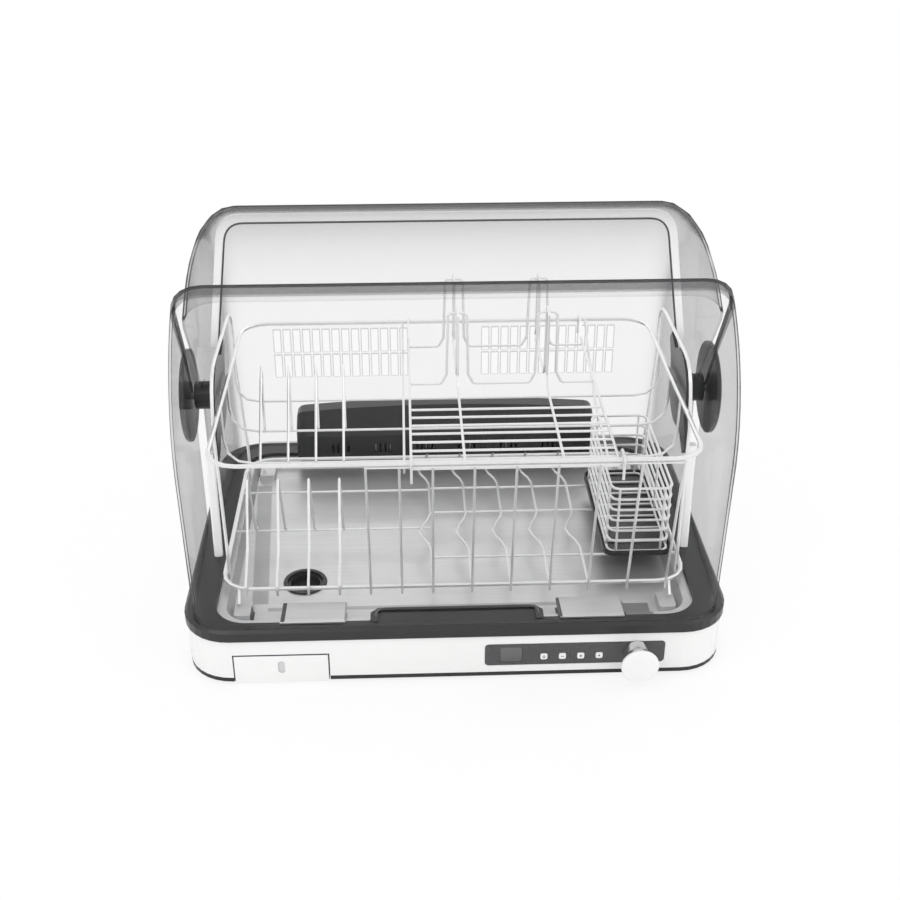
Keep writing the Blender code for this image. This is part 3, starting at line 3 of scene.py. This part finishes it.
import bmesh
import bpy
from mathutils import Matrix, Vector


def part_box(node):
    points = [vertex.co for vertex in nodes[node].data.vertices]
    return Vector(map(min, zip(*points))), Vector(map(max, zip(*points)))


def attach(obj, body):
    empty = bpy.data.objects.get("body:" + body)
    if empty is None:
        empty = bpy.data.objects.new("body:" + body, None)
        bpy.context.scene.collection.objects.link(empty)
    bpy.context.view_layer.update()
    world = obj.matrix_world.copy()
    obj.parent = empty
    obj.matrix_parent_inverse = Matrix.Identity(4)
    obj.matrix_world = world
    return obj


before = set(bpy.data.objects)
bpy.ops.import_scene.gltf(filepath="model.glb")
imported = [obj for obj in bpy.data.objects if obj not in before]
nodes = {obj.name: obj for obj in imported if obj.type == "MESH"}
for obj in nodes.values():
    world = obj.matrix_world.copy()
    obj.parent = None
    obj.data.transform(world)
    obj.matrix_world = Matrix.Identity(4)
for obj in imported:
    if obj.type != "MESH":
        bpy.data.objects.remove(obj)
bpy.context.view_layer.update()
hub = {"y": 0.0118, "z": 0.234}  # pivot of the covers
plainWhite = (1.0, 1.0, 1.0)
socketNames = {"specularLevel": "Specular IOR Level"}


class Signal:  # a node's output, so that plain sums add Math nodes
    def __init__(self, graph, socket):
        self.graph = graph
        self.socket = socket

    def combine(self, kind, first, second):
        return self.graph.add("ShaderNodeMath", {"operation": kind}, {0: first, 1: second})

    def __add__(self, other):
        return self.combine("ADD", self, other)

    def __radd__(self, other):
        return self.combine("ADD", other, self)

    def __sub__(self, other):
        return self.combine("SUBTRACT", self, other)

    def __rsub__(self, other):
        return self.combine("SUBTRACT", other, self)

    def __mul__(self, other):
        return self.combine("MULTIPLY", self, other)

    def __rmul__(self, other):
        return self.combine("MULTIPLY", other, self)

    def __truediv__(self, other):
        return self.combine("DIVIDE", self, other)

    def __rtruediv__(self, other):
        return self.combine("DIVIDE", other, self)

    def __pow__(self, other):
        return self.combine("POWER", self, other)

    def __rpow__(self, other):
        return self.combine("POWER", other, self)

    def __mod__(self, other):
        return self.combine("FLOORED_MODULO", self, other)

    def __rmod__(self, other):
        return self.combine("FLOORED_MODULO", other, self)

    def __gt__(self, other):
        return self.combine("GREATER_THAN", self, other)

    def __lt__(self, other):
        return self.combine("LESS_THAN", self, other)

    def __abs__(self):
        return self.graph.add("ShaderNodeMath", {"operation": "ABSOLUTE"}, {0: self})

    def sign(self):
        return self.graph.add("ShaderNodeMath", {"operation": "SIGN"}, {0: self})

    def most(self, other):
        return self.combine("MAXIMUM", self, other)


class Graph:  # the nodes of one material, or of the world
    def __init__(self, owner, shader="Principled BSDF", output="Material Output"):
        owner.use_nodes = True
        self.owner = owner
        self.tree = owner.node_tree
        self.shader = self.tree.nodes[shader]
        self.output = self.tree.nodes[output]

    def add(self, kind, settings=None, sockets=None, out=0):
        node = self.tree.nodes.new(kind)
        for key, value in (settings or {}).items():
            setattr(node, key, value)
        for key, value in (sockets or {}).items():
            self.feed(node.inputs[key], value)
        return Signal(self, node.outputs[out])

    def feed(self, socket, value):
        if isinstance(value, Signal):
            self.tree.links.new(value.socket, socket)
        elif socket.type == "RGBA" and len(value) == 3:
            socket.default_value = (*value, 1.0)
        else:
            socket.default_value = value

    def set(self, **values):
        for key, value in values.items():
            spaced = "".join(" " + letter if letter.isupper() else letter for letter in key)
            self.feed(self.shader.inputs[socketNames.get(key, spaced.title())], value)

    def whole(self):
        return Signal(self, self.shader.outputs[0])

    def finish(self, signal):
        self.feed(self.output.inputs["Surface"], signal)

    def place(self):  # metres in the row frame at rest, so that a look moves with its piece
        return self.add("ShaderNodeTexCoord", out="Object")

    def parts(self, vector):
        node = self.add("ShaderNodeSeparateXYZ", None, {0: vector}).socket.node
        return [Signal(self, output) for output in node.outputs]

    def rays(self, *names):
        node = self.add("ShaderNodeLightPath").socket.node
        return [Signal(self, node.outputs[name]) for name in names]

    def noise(self, scale, detail=3.0, vector=None, rough=0.5):
        values = {"Vector": vector or self.place(), "Scale": scale, "Detail": detail, "Roughness": rough}
        return self.add("ShaderNodeTexNoise", None, values)

    def stretched(self, scales):
        return self.add("ShaderNodeVectorMath", {"operation": "MULTIPLY"}, {0: self.place(), 1: scales})

    def blend(self, factor, first, second):
        return self.add("ShaderNodeMix", {"data_type": "RGBA"}, {0: factor, 6: first, 7: second}, 2)

    def remap(self, value, low, high, start, end):
        return self.add("ShaderNodeMapRange", {"clamp": True}, {0: value, 1: low, 2: high, 3: start, 4: end})

    def clamp(self, value):
        return self.remap(value, 0.0, 1.0, 0.0, 1.0)

    def mixShaders(self, factor, first, second):
        return self.add("ShaderNodeMixShader", None, {0: factor, 1: first, 2: second})

    def bump(self, height, distance, strength):
        values = {"Height": height, "Distance": distance, "Strength": strength}
        self.set(normal=self.add("ShaderNodeBump", None, values))


# Plastics

plastics = {
    "whiteGloss": {"color": (0.90, 0.90, 0.895), "shade": (0.87, 0.87, 0.865), "rough": 0.24,
                   "grain": 900.0, "relief": 0.00002, "coat": 0.25},
    "blackSatin": {"color": (0.018, 0.018, 0.019), "shade": (0.028, 0.028, 0.029), "rough": 0.30,
                   "grain": 1400.0, "relief": 0.00004, "coat": 0.0, "shine": 0.42},
    "panelSatin": {"color": (0.055, 0.055, 0.058), "shade": (0.065, 0.065, 0.068), "rough": 0.28,
                   "grain": 1600.0, "relief": 0.00002, "coat": 0.2},
    "keyWhite": {"color": (0.90, 0.90, 0.90), "shade": (0.86, 0.86, 0.86), "rough": 0.30,
                 "grain": 2000.0, "relief": 0.00001, "coat": 0.1},
    "bezelGloss": {"color": (0.030, 0.030, 0.031), "shade": (0.045, 0.045, 0.046), "rough": 0.14,
                   "grain": 900.0, "relief": 0.00001, "coat": 0.8},
    "footRubber": {"color": (0.020, 0.020, 0.020), "shade": (0.035, 0.035, 0.034), "rough": 0.82,
                   "grain": 1200.0, "relief": 0.00008, "coat": 0.0},
    "boardGreen": {"color": (0.02, 0.12, 0.05), "shade": (0.03, 0.16, 0.07), "rough": 0.45,
                   "grain": 700.0, "relief": 0.00005, "coat": 0.0},
    "frameWhite": {"color": (0.93, 0.93, 0.93), "shade": (0.90, 0.90, 0.90), "rough": 0.16,
                   "grain": 600.0, "relief": 0.00001, "coat": 0.3, "glow": 0.16},
}
plasticFeel = {"cloud": 18.0, "cloudDetail": 4.0, "wear": 55.0, "wearDetail": 5.0, "wearRough": 0.65,
               "wearShare": 0.12, "grainDetail": 2.0, "grainShare": 0.04, "coatRough": 0.08,
               "bump": 0.6, "shine": 0.5}


def makePlastic(name):
    look, feel = plastics[name], plasticFeel
    graph = Graph(bpy.data.materials.new(name))
    cloud = graph.noise(feel["cloud"], feel["cloudDetail"])
    grain = graph.noise(look["grain"], feel["grainDetail"])
    wear = graph.noise(feel["wear"], feel["wearDetail"], rough=feel["wearRough"])
    uneven = (wear - 0.5) * feel["wearShare"]
    graph.set(baseColor=graph.blend(cloud, look["color"], look["shade"]))
    graph.set(roughness=look["rough"] + uneven + (grain - 0.5) * feel["grainShare"])
    graph.set(coatWeight=look["coat"], coatRoughness=feel["coatRough"])
    graph.set(specularLevel=look.get("shine", feel["shine"]))
    if "glow" in look:  # painted light: a faint glow standing in for the light that the clear cover passes on to it
        graph.set(emissionColor=graph.blend(cloud, plainWhite, look["shade"]), emissionStrength=look["glow"])
    graph.bump(grain, look["relief"], feel["bump"])
    return graph.owner


# Drain drawer: the dark joint round its front, and the shade in its finger slot

drawer = {"joint": 0.0009, "slotHalf": 0.012, "slotFrom": 0.0004, "slotTo": 0.0029, "slotDrop": 0.0036,
          "dark": (0.09, 0.09, 0.09), "dim": (0.66, 0.66, 0.66), "cloudShare": 0.08}


def makeDrawerPlastic():
    look, feel = plastics["whiteGloss"], plasticFeel
    low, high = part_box("drain_drawer")
    middle, half = (low.x + high.x) / 2, (high.x - low.x) / 2
    graph = Graph(bpy.data.materials.new("drawerGloss"))
    x, y, z = graph.parts(graph.place())
    cloud = graph.noise(feel["cloud"], feel["cloudDetail"])
    grain = graph.noise(look["grain"], feel["grainDetail"])
    across = abs(x - middle)
    rim = (across > half - drawer["joint"]) + (z > high.z - drawer["joint"])
    slot = (across < drawer["slotHalf"]) * (z < high.z - drawer["slotDrop"])
    slot = slot * (y > low.y + drawer["slotFrom"]) * (y < low.y + drawer["slotTo"])
    tone = graph.blend(cloud, look["color"], look["shade"])
    tone = graph.blend(slot, tone, drawer["dim"])
    graph.set(baseColor=graph.blend(rim, tone, drawer["dark"]))
    graph.set(roughness=look["rough"] + (cloud - 0.5) * drawer["cloudShare"])
    graph.set(coatWeight=look["coat"], coatRoughness=feel["coatRough"])
    graph.bump(grain, look["relief"], feel["bump"])
    return graph.owner


# Metals

metals = {
    "trayBrushed": {"color": (0.68, 0.68, 0.685), "shade": (0.58, 0.58, 0.585), "rough": 0.38,
                    "spread": 0.10, "lines": (14.0, 900.0, 900.0), "relief": 0.00003, "metal": 0.72,
                    "paintedShadeAndReflection": (0.03, 0.03, 0.031)},
    "dialBrushed": {"color": (0.80, 0.80, 0.80), "shade": (0.62, 0.62, 0.62), "rough": 0.24,
                    "spread": 0.12, "lines": (1200.0, 30.0, 1200.0), "relief": 0.00003},
    "wireChrome": {"color": (0.95, 0.95, 0.955), "shade": (0.88, 0.88, 0.885), "rough": 0.32,
                   "spread": 0.10, "lines": (160.0, 160.0, 160.0), "relief": 0.000008, "metal": 0.60,
                   "undersideShade": (0.60, 0.60, 0.605)},
    "plainSteel": {"color": (0.58, 0.58, 0.58), "shade": (0.45, 0.45, 0.45), "rough": 0.33,
                   "spread": 0.14, "lines": (300.0, 300.0, 300.0), "relief": 0.00004},
}
metalFeel = {"lineRough": 0.7, "cloud": 9.0, "cloudShare": 0.6, "toneFrom": 0.55, "toneTo": 1.0,
             "underFrom": -0.85, "underTo": 0.15, "roughShare": 0.06, "bump": 0.5}

# Painted shade in the tray's folds and slots, and one painted reflection patch: middle x and y, half width,
# half depth, how dark
trayPaintedPatches = ((-0.1765, -0.1540, 0.0021, 0.0195, 0.92), (0.1052, -0.1560, 0.0017, 0.0190, 0.88),
             (0.1715, -0.1560, 0.0017, 0.0185, 0.80), (-0.2105, -0.1440, 0.0016, 0.0110, 0.88),
             (0.1868, -0.1500, 0.0150, 0.0180, 0.58), (-0.0100, -0.1300, 0.1860, 0.0030, 0.34),
             (-0.1135, -0.1560, 0.0009, 0.0180, 0.40))
# Painted reflection: a darker strip along the tray's left side
trayReflectionStrip = {"middle": -0.2061, "lean": -0.071, "from": -0.1011, "half": 0.0093, "soft": 0.0016,
             "share": 0.36, "front": -0.120, "back": 0.125}


def trayPaintedMask(graph):
    x, y, z = graph.parts(graph.place())
    total = 0.0
    for middleX, middleY, halfX, halfY, share in trayPaintedPatches:
        total = (abs(x - middleX) < halfX) * (abs(y - middleY) < halfY) * share + total
    offset = abs(x - trayReflectionStrip["middle"] - (y - trayReflectionStrip["from"]) * trayReflectionStrip["lean"])
    inside = trayReflectionStrip["half"] - trayReflectionStrip["soft"]
    strip = graph.remap(offset, inside, trayReflectionStrip["half"], trayReflectionStrip["share"], 0.0)
    return total.most(strip * (y > trayReflectionStrip["front"]) * (y < trayReflectionStrip["back"]))


def makeMetal(name):
    look, feel = metals[name], metalFeel
    graph = Graph(bpy.data.materials.new(name))
    lines = graph.noise(1.0, vector=graph.stretched(look["lines"]), rough=feel["lineRough"])
    cloud = graph.noise(feel["cloud"])
    shade = graph.remap(lines + cloud * feel["cloudShare"], feel["toneFrom"], feel["toneTo"], 0.0, 1.0)
    tone = graph.blend(shade, look["color"], look["shade"])
    if "undersideShade" in look:  # painted shade and reflection: the undersides are darkened as if they showed the dark tray and deck
        upward = graph.parts(graph.add("ShaderNodeNewGeometry", out="Normal"))[2]
        low = graph.remap(upward, feel["underFrom"], feel["underTo"], 1.0, 0.0)
        tone = graph.blend(low, tone, look["undersideShade"])
    # painted shade in the tray's folds and slots, and painted reflections on the tray
    if "paintedShadeAndReflection" in look:
        tone = graph.blend(trayPaintedMask(graph), tone, look["paintedShadeAndReflection"])
    graph.set(baseColor=tone, metallic=look.get("metal", 1.0))
    uneven = (cloud - 0.5) * feel["roughShare"]
    graph.set(roughness=look["rough"] + (lines - 0.5) * look["spread"] + uneven)
    graph.bump(lines, look["relief"], feel["bump"])
    return graph.owner


# Clear smoke grey covers: nearly clear when seen square on, grey at a slant and along their thick edges

clear = {"tint": (0.075, 0.075, 0.08), "dusty": (0.10, 0.10, 0.105), "dust": 40.0, "dustDetail": 5.0,
         "dustShare": 0.012, "haze": 90.0, "hazeDetail": 4.0, "hazeShare": 0.03, "rough": 0.08,
         "shine": 0.12, "faint": 0.03, "slant": 0.42, "power": 2.5, "rim": 0.55, "rimPower": 9.0,
         "foot": 0.30, "footFrom": 0.0695, "footTo": 0.0715, "lineSoft": 0.7, "bodySoft": 0.9,
         "outline": 0.88, "outlineColor": (0.055, 0.055, 0.058), "outlineFrom": 0.78, "outlineTo": 0.90,
         "sideFrom": 0.975, "sideTo": 0.995}
edges = {"frontSmoke": {"edgeAngle": 34.0, "inward": 1.0, "line": 0.34, "body": 3.3, "lineShare": 0.85,
                        "bodyAlpha": 0.46, "crown": 0.232, "shoulder": 0.160, "sideShare": 0.32},
         "rearSmoke": {"edgeAngle": 38.0, "inward": -1.0, "line": 0.40, "body": 0.8, "lineShare": 0.04,
                       "bodyAlpha": 0.02, "crown": 0.224, "shoulder": 0.160, "sideShare": 0.08}}
vents = {"middle": 0.127, "pitch": 0.01185, "slot": 0.008, "bottom": 0.160, "rise": 0.0295,
         "gap": 0.0035, "columns": 14, "rim": 0.0009, "gray": 0.20, "wall": 0.17}


def roundedNormal(graph, crown, shoulder):  # the cover's own curve, without the solid's facets
    x, y, z = graph.parts(graph.place())
    wide = (abs(x) - crown).most(0.0) * x.sign()
    back, up = y - hub["y"], (z - hub["z"]).most(0.0)
    reach = (back * back + up * up) ** 0.5
    share = (reach - shoulder).most(0.0) / reach
    vector = graph.add("ShaderNodeCombineXYZ", None, {0: wide, 1: back * share, 2: up * share})
    own = graph.add("ShaderNodeVectorMath", {"operation": "NORMALIZE"}, {0: vector})
    turned = {"vector_type": "NORMAL", "convert_from": "OBJECT", "convert_to": "WORLD"}
    return own, graph.add("ShaderNodeVectorTransform", turned, {0: own})


def ventRims(x, y, z):
    half, side, step = vents["columns"] / 2 * vents["pitch"], abs(x), vents["rise"] + vents["gap"]
    column = (side - (vents["middle"] - half)) % vents["pitch"]
    across = abs(column - vents["pitch"] / 2) - vents["slot"] / 2
    upward = abs((z - vents["bottom"]) % step - vents["rise"] / 2) - vents["rise"] / 2
    field = (abs(side - vents["middle"]) < half) * (y > vents["wall"])
    field = field * (z > vents["bottom"] - vents["rim"])
    field = field * (z < vents["bottom"] + vents["rise"] + step + vents["rim"])
    return (across.most(upward) < vents["rim"]) * field


def makeCover(name):
    look = edges[name]
    graph = Graph(bpy.data.materials.new(name))
    x, y, z = graph.parts(graph.place())
    turn = graph.add("ShaderNodeMath", {"operation": "ARCTAN2"}, {0: hub["y"] - y, 1: z - hub["z"]})
    inward = (turn * (180 / math.pi) - look["edgeAngle"]) * look["inward"]  # degrees from the open edge
    above = z > hub["z"]
    line = graph.remap(inward, look["line"] * clear["lineSoft"], look["line"], 1.0, 0.0) * above
    body = graph.remap(inward, look["body"] * clear["bodySoft"], look["body"], 1.0, 0.0) * above
    foot = graph.remap(z, clear["footFrom"], clear["footTo"], 1.0, 0.0)
    own, normal = roundedNormal(graph, look["crown"], look["shoulder"])
    side = graph.parts(own)[0]
    slant = graph.add("ShaderNodeLayerWeight", None, {"Blend": 0.5, "Normal": normal}, "Facing")
    dark = slant ** clear["power"] * clear["slant"] + slant ** clear["rimPower"] * clear["rim"]
    outline = graph.remap(slant, clear["outlineFrom"], clear["outlineTo"], 0.0, clear["outline"])
    outline = outline * graph.remap(abs(side), clear["sideFrom"], clear["sideTo"], 1.0, 0.0)
    dust = graph.noise(clear["dust"], clear["dustDetail"])
    haze = graph.noise(clear["haze"], clear["hazeDetail"])
    alpha = clear["faint"] + dark * (1.0 - side * side * look["sideShare"]) + foot * clear["foot"]
    alpha = alpha + body * look["bodyAlpha"] + (dust - 0.5) * clear["dustShare"]
    if name == "rearSmoke":
        alpha = alpha + ventRims(x, y, z) * vents["gray"]
    graph.set(baseColor=graph.blend(dust, clear["tint"], clear["dusty"]))
    graph.set(alpha=graph.clamp(alpha), specularLevel=clear["shine"])
    graph.set(roughness=clear["rough"] + (haze - 0.5) * clear["hazeShare"])
    edge = graph.add("ShaderNodeBsdfDiffuse", None, {"Color": clear["outlineColor"]})
    share = graph.clamp(outline.most(line * look["lineShare"]))
    graph.finish(graph.mixShaders(share, graph.whole(), edge))
    return graph.owner


# Display window: a dim glass that gets a little paler towards its top

window = {"low": (0.085, 0.085, 0.088), "high": (0.125, 0.125, 0.128), "from": 0.020, "to": 0.040,
          "sheen": 60.0, "rough": 0.10, "spread": 0.05, "coat": 0.6, "coatRough": 0.04,
          "relief": 0.00001, "bump": 0.3}


def makeWindow():
    graph = Graph(bpy.data.materials.new("displayGlass"))
    x, y, z = graph.parts(graph.place())
    sheen = graph.noise(window["sheen"])
    rise = graph.remap(z, window["from"], window["to"], 0.0, 1.0)
    graph.set(baseColor=graph.blend(rise, window["low"], window["high"]))
    graph.set(roughness=window["rough"] + (sheen - 0.5) * window["spread"])
    graph.set(coatWeight=window["coat"], coatRoughness=window["coatRough"])
    graph.bump(sheen, window["relief"], window["bump"])
    return graph.owner


# Which nodes each finish goes on; a star stands for left and right

finishes = {
    "whiteGloss": (makePlastic, ("base_shell",)),
    "blackSatin": (makePlastic, ("bottom_plate", "rim_deck", "drain_cup", "heater_housing", "blower_rotor",
                                 "cutlery_liner", "hub_disc_*", "hub_bracket_*")),
    "panelSatin": (makePlastic, ("control_panel",)),
    "keyWhite": (makePlastic, ("dial_cap", "key_1", "key_2", "key_3", "key_4")),
    "footRubber": (makePlastic, ("foot_front_*", "foot_rear_*")),
    "boardGreen": (makePlastic, ("control_board",)),
    "frameWhite": (makePlastic, ("cover_arch", "side_post_*")),
    "trayBrushed": (makeMetal, ("drip_tray",)),
    "dialBrushed": (makeMetal, ("dial_skirt",)),
    "wireChrome": (makeMetal, ("upper_rack", "lower_rack", "cup_rack", "cutlery_basket", "rack_front",
                               "rack_arch_*", "basket_wall_front", "basket_wall_back", "basket_wall_*",
                               "lower_divider_1", "lower_divider_2", "lower_divider_3",
                               "lower_divider_4")),
    "plainSteel": (makeMetal, ("blower_frame", "blower_motor", "heater_element", "pivot_pin_*",
                               "timer_body", "base_screw_1", "base_screw_2", "base_screw_3",
                               "base_screw_4")),
    "frontSmoke": (makeCover, ("front_cover",)),
    "rearSmoke": (makeCover, ("rear_cover",)),
}


def dress(material, names):
    for name in names:
        for side in ("left", "right") if "*" in name else ("",):
            for slot in nodes[name.replace("*", side)].material_slots:
                slot.material = material


def dressNodes():
    for finish, (maker, names) in finishes.items():
        dress(maker(finish), names)
    dress(makeDrawerPlastic(), ("drain_drawer",))
    dress(makeWindow(), ("display_window",))
    print("dressed", len(nodes), "nodes")


# Room

floorLook = {"color": (0.93, 0.93, 0.93), "shade": (0.95, 0.95, 0.95), "tone": 3.0, "toneDetail": 2.0,
             "rough": 0.9, "half": 6.0, "paleFrom": 0.6, "paleTo": 1.6, "paleShare": 0.82}
worldLook = {"color": (1.0, 1.0, 1.0), "level": 0.85}
lamps = {"keyLamp": {"power": 14.0, "size": 1.6, "place": (-1.2, -1.3, 2.0)},
         "fillLamp": {"power": 8.0, "size": 1.8, "place": (1.5, -0.9, 1.4)},
         "backLamp": {"power": 6.0, "size": 1.8, "place": (0.2, 1.6, 1.9)}}
lampTarget = Vector((0.0, 0.0, 0.2))


def link(name, data):
    holder = bpy.data.objects.new(name, data)
    bpy.context.scene.collection.objects.link(holder)
    return holder


def makeFloor():  # the camera sees it paler, and white far off
    look = floorLook
    graph = Graph(bpy.data.materials.new("floorPaper"))
    tone = graph.noise(look["tone"], look["toneDetail"])
    graph.set(baseColor=graph.blend(tone, look["color"], look["shade"]), roughness=look["rough"])
    x, y, z = graph.parts(graph.place())
    far = (x * x + y * y) ** 0.5
    pale = graph.remap(far, look["paleFrom"], look["paleTo"], look["paleShare"], 1.0)
    glow = graph.add("ShaderNodeEmission", None, {"Color": plainWhite, "Strength": 1.0})
    seen = graph.rays("Is Camera Ray")[0]
    graph.finish(graph.mixShaders(seen * pale, graph.whole(), glow))
    bm = bmesh.new()
    for across, along in ((-1, -1), (1, -1), (1, 1), (-1, 1)):
        bm.verts.new((across * look["half"], along * look["half"], 0.0))
    bm.faces.new(bm.verts)
    mesh = bpy.data.meshes.new("floor")
    bm.to_mesh(mesh)
    bm.free()
    mesh.materials.append(graph.owner)
    floor = link("floor", mesh)


def makeWorld():  # white to the camera, in glass and in gloss
    world = bpy.data.worlds.new("room")
    bpy.context.scene.world = world
    graph = Graph(world, "Background", "World Output")
    graph.set(color=worldLook["color"], strength=worldLook["level"])
    pale = graph.add("ShaderNodeBackground", None, {"Color": plainWhite, "Strength": 1.0})
    seen, through, glossy = graph.rays("Is Camera Ray", "Is Transmission Ray", "Is Glossy Ray")
    graph.finish(graph.mixShaders(seen.most(through).most(glossy), graph.whole(), pale))


def makeLamp(name, look):
    lamp = bpy.data.lights.new(name, "AREA")
    lamp.energy = look["power"]
    lamp.size = look["size"]
    holder = link(name, lamp)
    holder.location = look["place"]
    holder.rotation_euler = (lampTarget - Vector(look["place"])).to_track_quat("-Z", "Y").to_euler()


def makeRoom():
    makeFloor()
    makeWorld()
    for name, look in lamps.items():
        makeLamp(name, look)
    print("room is lit")


view = {"place": (-0.0456, -1.1962, 0.831), "tilt": 61.01, "turn": -2.135, "lens": 50.0,
        "sensor": 36.0, "near": 0.01}


def makeCamera():
    camera = bpy.data.cameras.new("camera")
    camera.lens = view["lens"]
    camera.sensor_width = view["sensor"]
    camera.clip_start = view["near"]
    holder = link("camera", camera)
    holder.location = view["place"]
    holder.rotation_euler = (math.radians(view["tilt"]), 0.0, math.radians(view["turn"]))
    bpy.context.scene.camera = holder
    bpy.context.scene.view_settings.view_transform = "Standard"
    print("camera set")


# Small pieces of the scene's own

def joinRows(bm, rows):
    for first, second in zip(rows, rows[1:]):
        for i in range(len(first)):
            j = (i + 1) % len(first)
            bm.faces.new((first[i], first[j], second[j], second[i]))


def capRows(bm, rows):
    bm.faces.new(rows[0])
    bm.faces.new(rows[-1])


def acrossPath(path, number):  # sideways direction at a point of a flat path
    before, after = path[max(number - 1, 0)], path[min(number + 1, len(path) - 1)]
    along = (after - before).normalized()
    return Vector((along.y, -along.x))


def addPiece(name, bm, material, body):
    bmesh.ops.recalc_face_normals(bm, faces=bm.faces)
    mesh = bpy.data.meshes.new(name)
    bm.to_mesh(mesh)
    bm.free()
    mesh.materials.append(material)
    piece = link(name, mesh)
    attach(piece, body)


# Dark strip along the inner edge of the arch in the rear cover's mouth

darkLine = {"footHalf": 0.2604, "topHalf": 0.2470, "footHeight": 0.268, "topHeight": 0.404, "corner": 0.0215,
        "inset": 0.0088, "width": 0.0021, "depth": 0.0007, "shift": 0.040, "lean": 0.30, "front": 0.0022,
        "steps": 8, "profile": ((-1.0, 0.0), (-0.7, 1.0), (0.7, 1.0), (1.0, 0.0))}


def darkLinePath():
    low = Vector((darkLine["footHalf"] - darkLine["inset"], darkLine["footHeight"]))
    high = Vector((darkLine["topHalf"] - darkLine["inset"], darkLine["topHeight"] - darkLine["inset"]))
    along = (low - high).normalized()
    reach = darkLine["corner"] / math.tan(along.angle(Vector((-1.0, 0.0))) / 2)
    start, end = high + along * reach, high + Vector((-reach, 0.0))
    half = [low]
    for step in range(darkLine["steps"] + 1):
        t = step / darkLine["steps"]
        half.append(start.lerp(high, t).lerp(high.lerp(end, t), t))
    return half + [Vector((-point.x, point.y)) for point in reversed(half)]


def makeDarkLine():
    path = darkLinePath()
    bm = bmesh.new()
    rows = []
    for number, point in enumerate(path):
        across = acrossPath(path, number) * darkLine["width"] / 2
        row = []
        for side, out in darkLine["profile"]:
            spot = point + across * side
            slope = darkLine["lean"] * (spot.y - hub["z"])
            y = hub["y"] + darkLine["shift"] + slope - darkLine["front"] - darkLine["depth"] * out
            row.append(bm.verts.new((spot.x, y, spot.y)))
        rows.append(row)
    joinRows(bm, rows)
    capRows(bm, rows)
    addPiece("archDarkLine", bm, makePlastic("panelSatin"), "cabinet")
    print("seal set")


# Glossy bezel round the scoop in the deck's front

bezel = {"left": -0.0825, "right": 0.0835, "front": -0.1745, "back": -0.1525, "corner": 0.010,
         "half": 0.0017, "base": 0.0674, "height": 0.0018, "steps": 6, "sides": 7}


def bezelPath():
    corner, steps = bezel["corner"], bezel["steps"]
    path = [Vector((bezel["left"], bezel["front"]))]
    for x, start in ((bezel["left"] + corner, 180), (bezel["right"] - corner, 90)):
        for step in range(steps + 1):
            angle = math.radians(start - 90 * step / steps)
            y = bezel["back"] - corner + corner * math.sin(angle)
            path.append(Vector((x + corner * math.cos(angle), y)))
    return path + [Vector((bezel["right"], bezel["front"]))]


def makeBezel():
    path = bezelPath()
    bm = bmesh.new()
    rows = []
    for number, point in enumerate(path):
        across = acrossPath(path, number) * bezel["half"]
        row = []
        for step in range(bezel["sides"]):
            angle = math.radians(180 * step / (bezel["sides"] - 1))
            spot = point + across * math.cos(angle)
            row.append(bm.verts.new((spot.x, spot.y, bezel["base"] + bezel["height"] * math.sin(angle))))
        rows.append(row)
    joinRows(bm, rows)
    capRows(bm, rows)
    for face in bm.faces:
        face.smooth = True
    addPiece("scoopBezel", bm, makePlastic("bezelGloss"), "cabinet")
    print("bezel set")


# Small marks on the keys

marks = {"shapes": ("ring", "minus", "plus", "dot"), "size": 0.0030, "thick": 0.00012, "bar": 0.00075,
         "sunk": 0.2, "hole": 0.55, "dot": 0.6, "steps": 20, "merge": 0.000001}


def markBar(bm, x, y, z, wide, tall):
    corners = [(x - wide, z - tall), (x + wide, z - tall), (x + wide, z + tall), (x - wide, z + tall)]
    back = [bm.verts.new((u, y + marks["thick"] * marks["sunk"], v)) for u, v in corners]
    face = [bm.verts.new((u, y - marks["thick"], v)) for u, v in corners]
    bm.faces.new(face)
    joinRows(bm, [back, face])


def markRound(bm, x, y, z, inner, outer):
    sunk, raised, steps = marks["thick"] * marks["sunk"], -marks["thick"], marks["steps"]
    rows = []
    for radius, depth in ((outer, sunk), (outer, raised), (inner, raised), (inner, sunk)):
        turns = [2 * math.pi * i / steps for i in range(steps)]
        rows.append([bm.verts.new((x + radius * math.cos(turn), y + depth, z + radius * math.sin(turn)))
                     for turn in turns])
    joinRows(bm, rows)
    bmesh.ops.remove_doubles(bm, verts=bm.verts, dist=marks["merge"])


def makeMarks():
    ink = makePlastic("panelSatin")
    half, bar = marks["size"] / 2, marks["bar"] / 2
    for number, shape in enumerate(marks["shapes"], 1):
        low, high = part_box("key_%d" % number)
        x, y, z = (low.x + high.x) / 2, low.y, (low.z + high.z) / 2
        bm = bmesh.new()
        if shape in ("minus", "plus"):
            markBar(bm, x, y, z, half, bar)
        if shape == "plus":
            markBar(bm, x, y, z, bar, half)
        if shape == "ring":
            markRound(bm, x, y, z, half * marks["hole"], half)
        if shape == "dot":
            markRound(bm, x, y, z, 0.0, half * marks["dot"])
        addPiece("keyMark%d" % number, bm, ink, "key_body_%d" % number)
    print("key marks set")


makeCamera()
makeRoom()
dressNodes()
makeDarkLine()
makeBezel()
makeMarks()
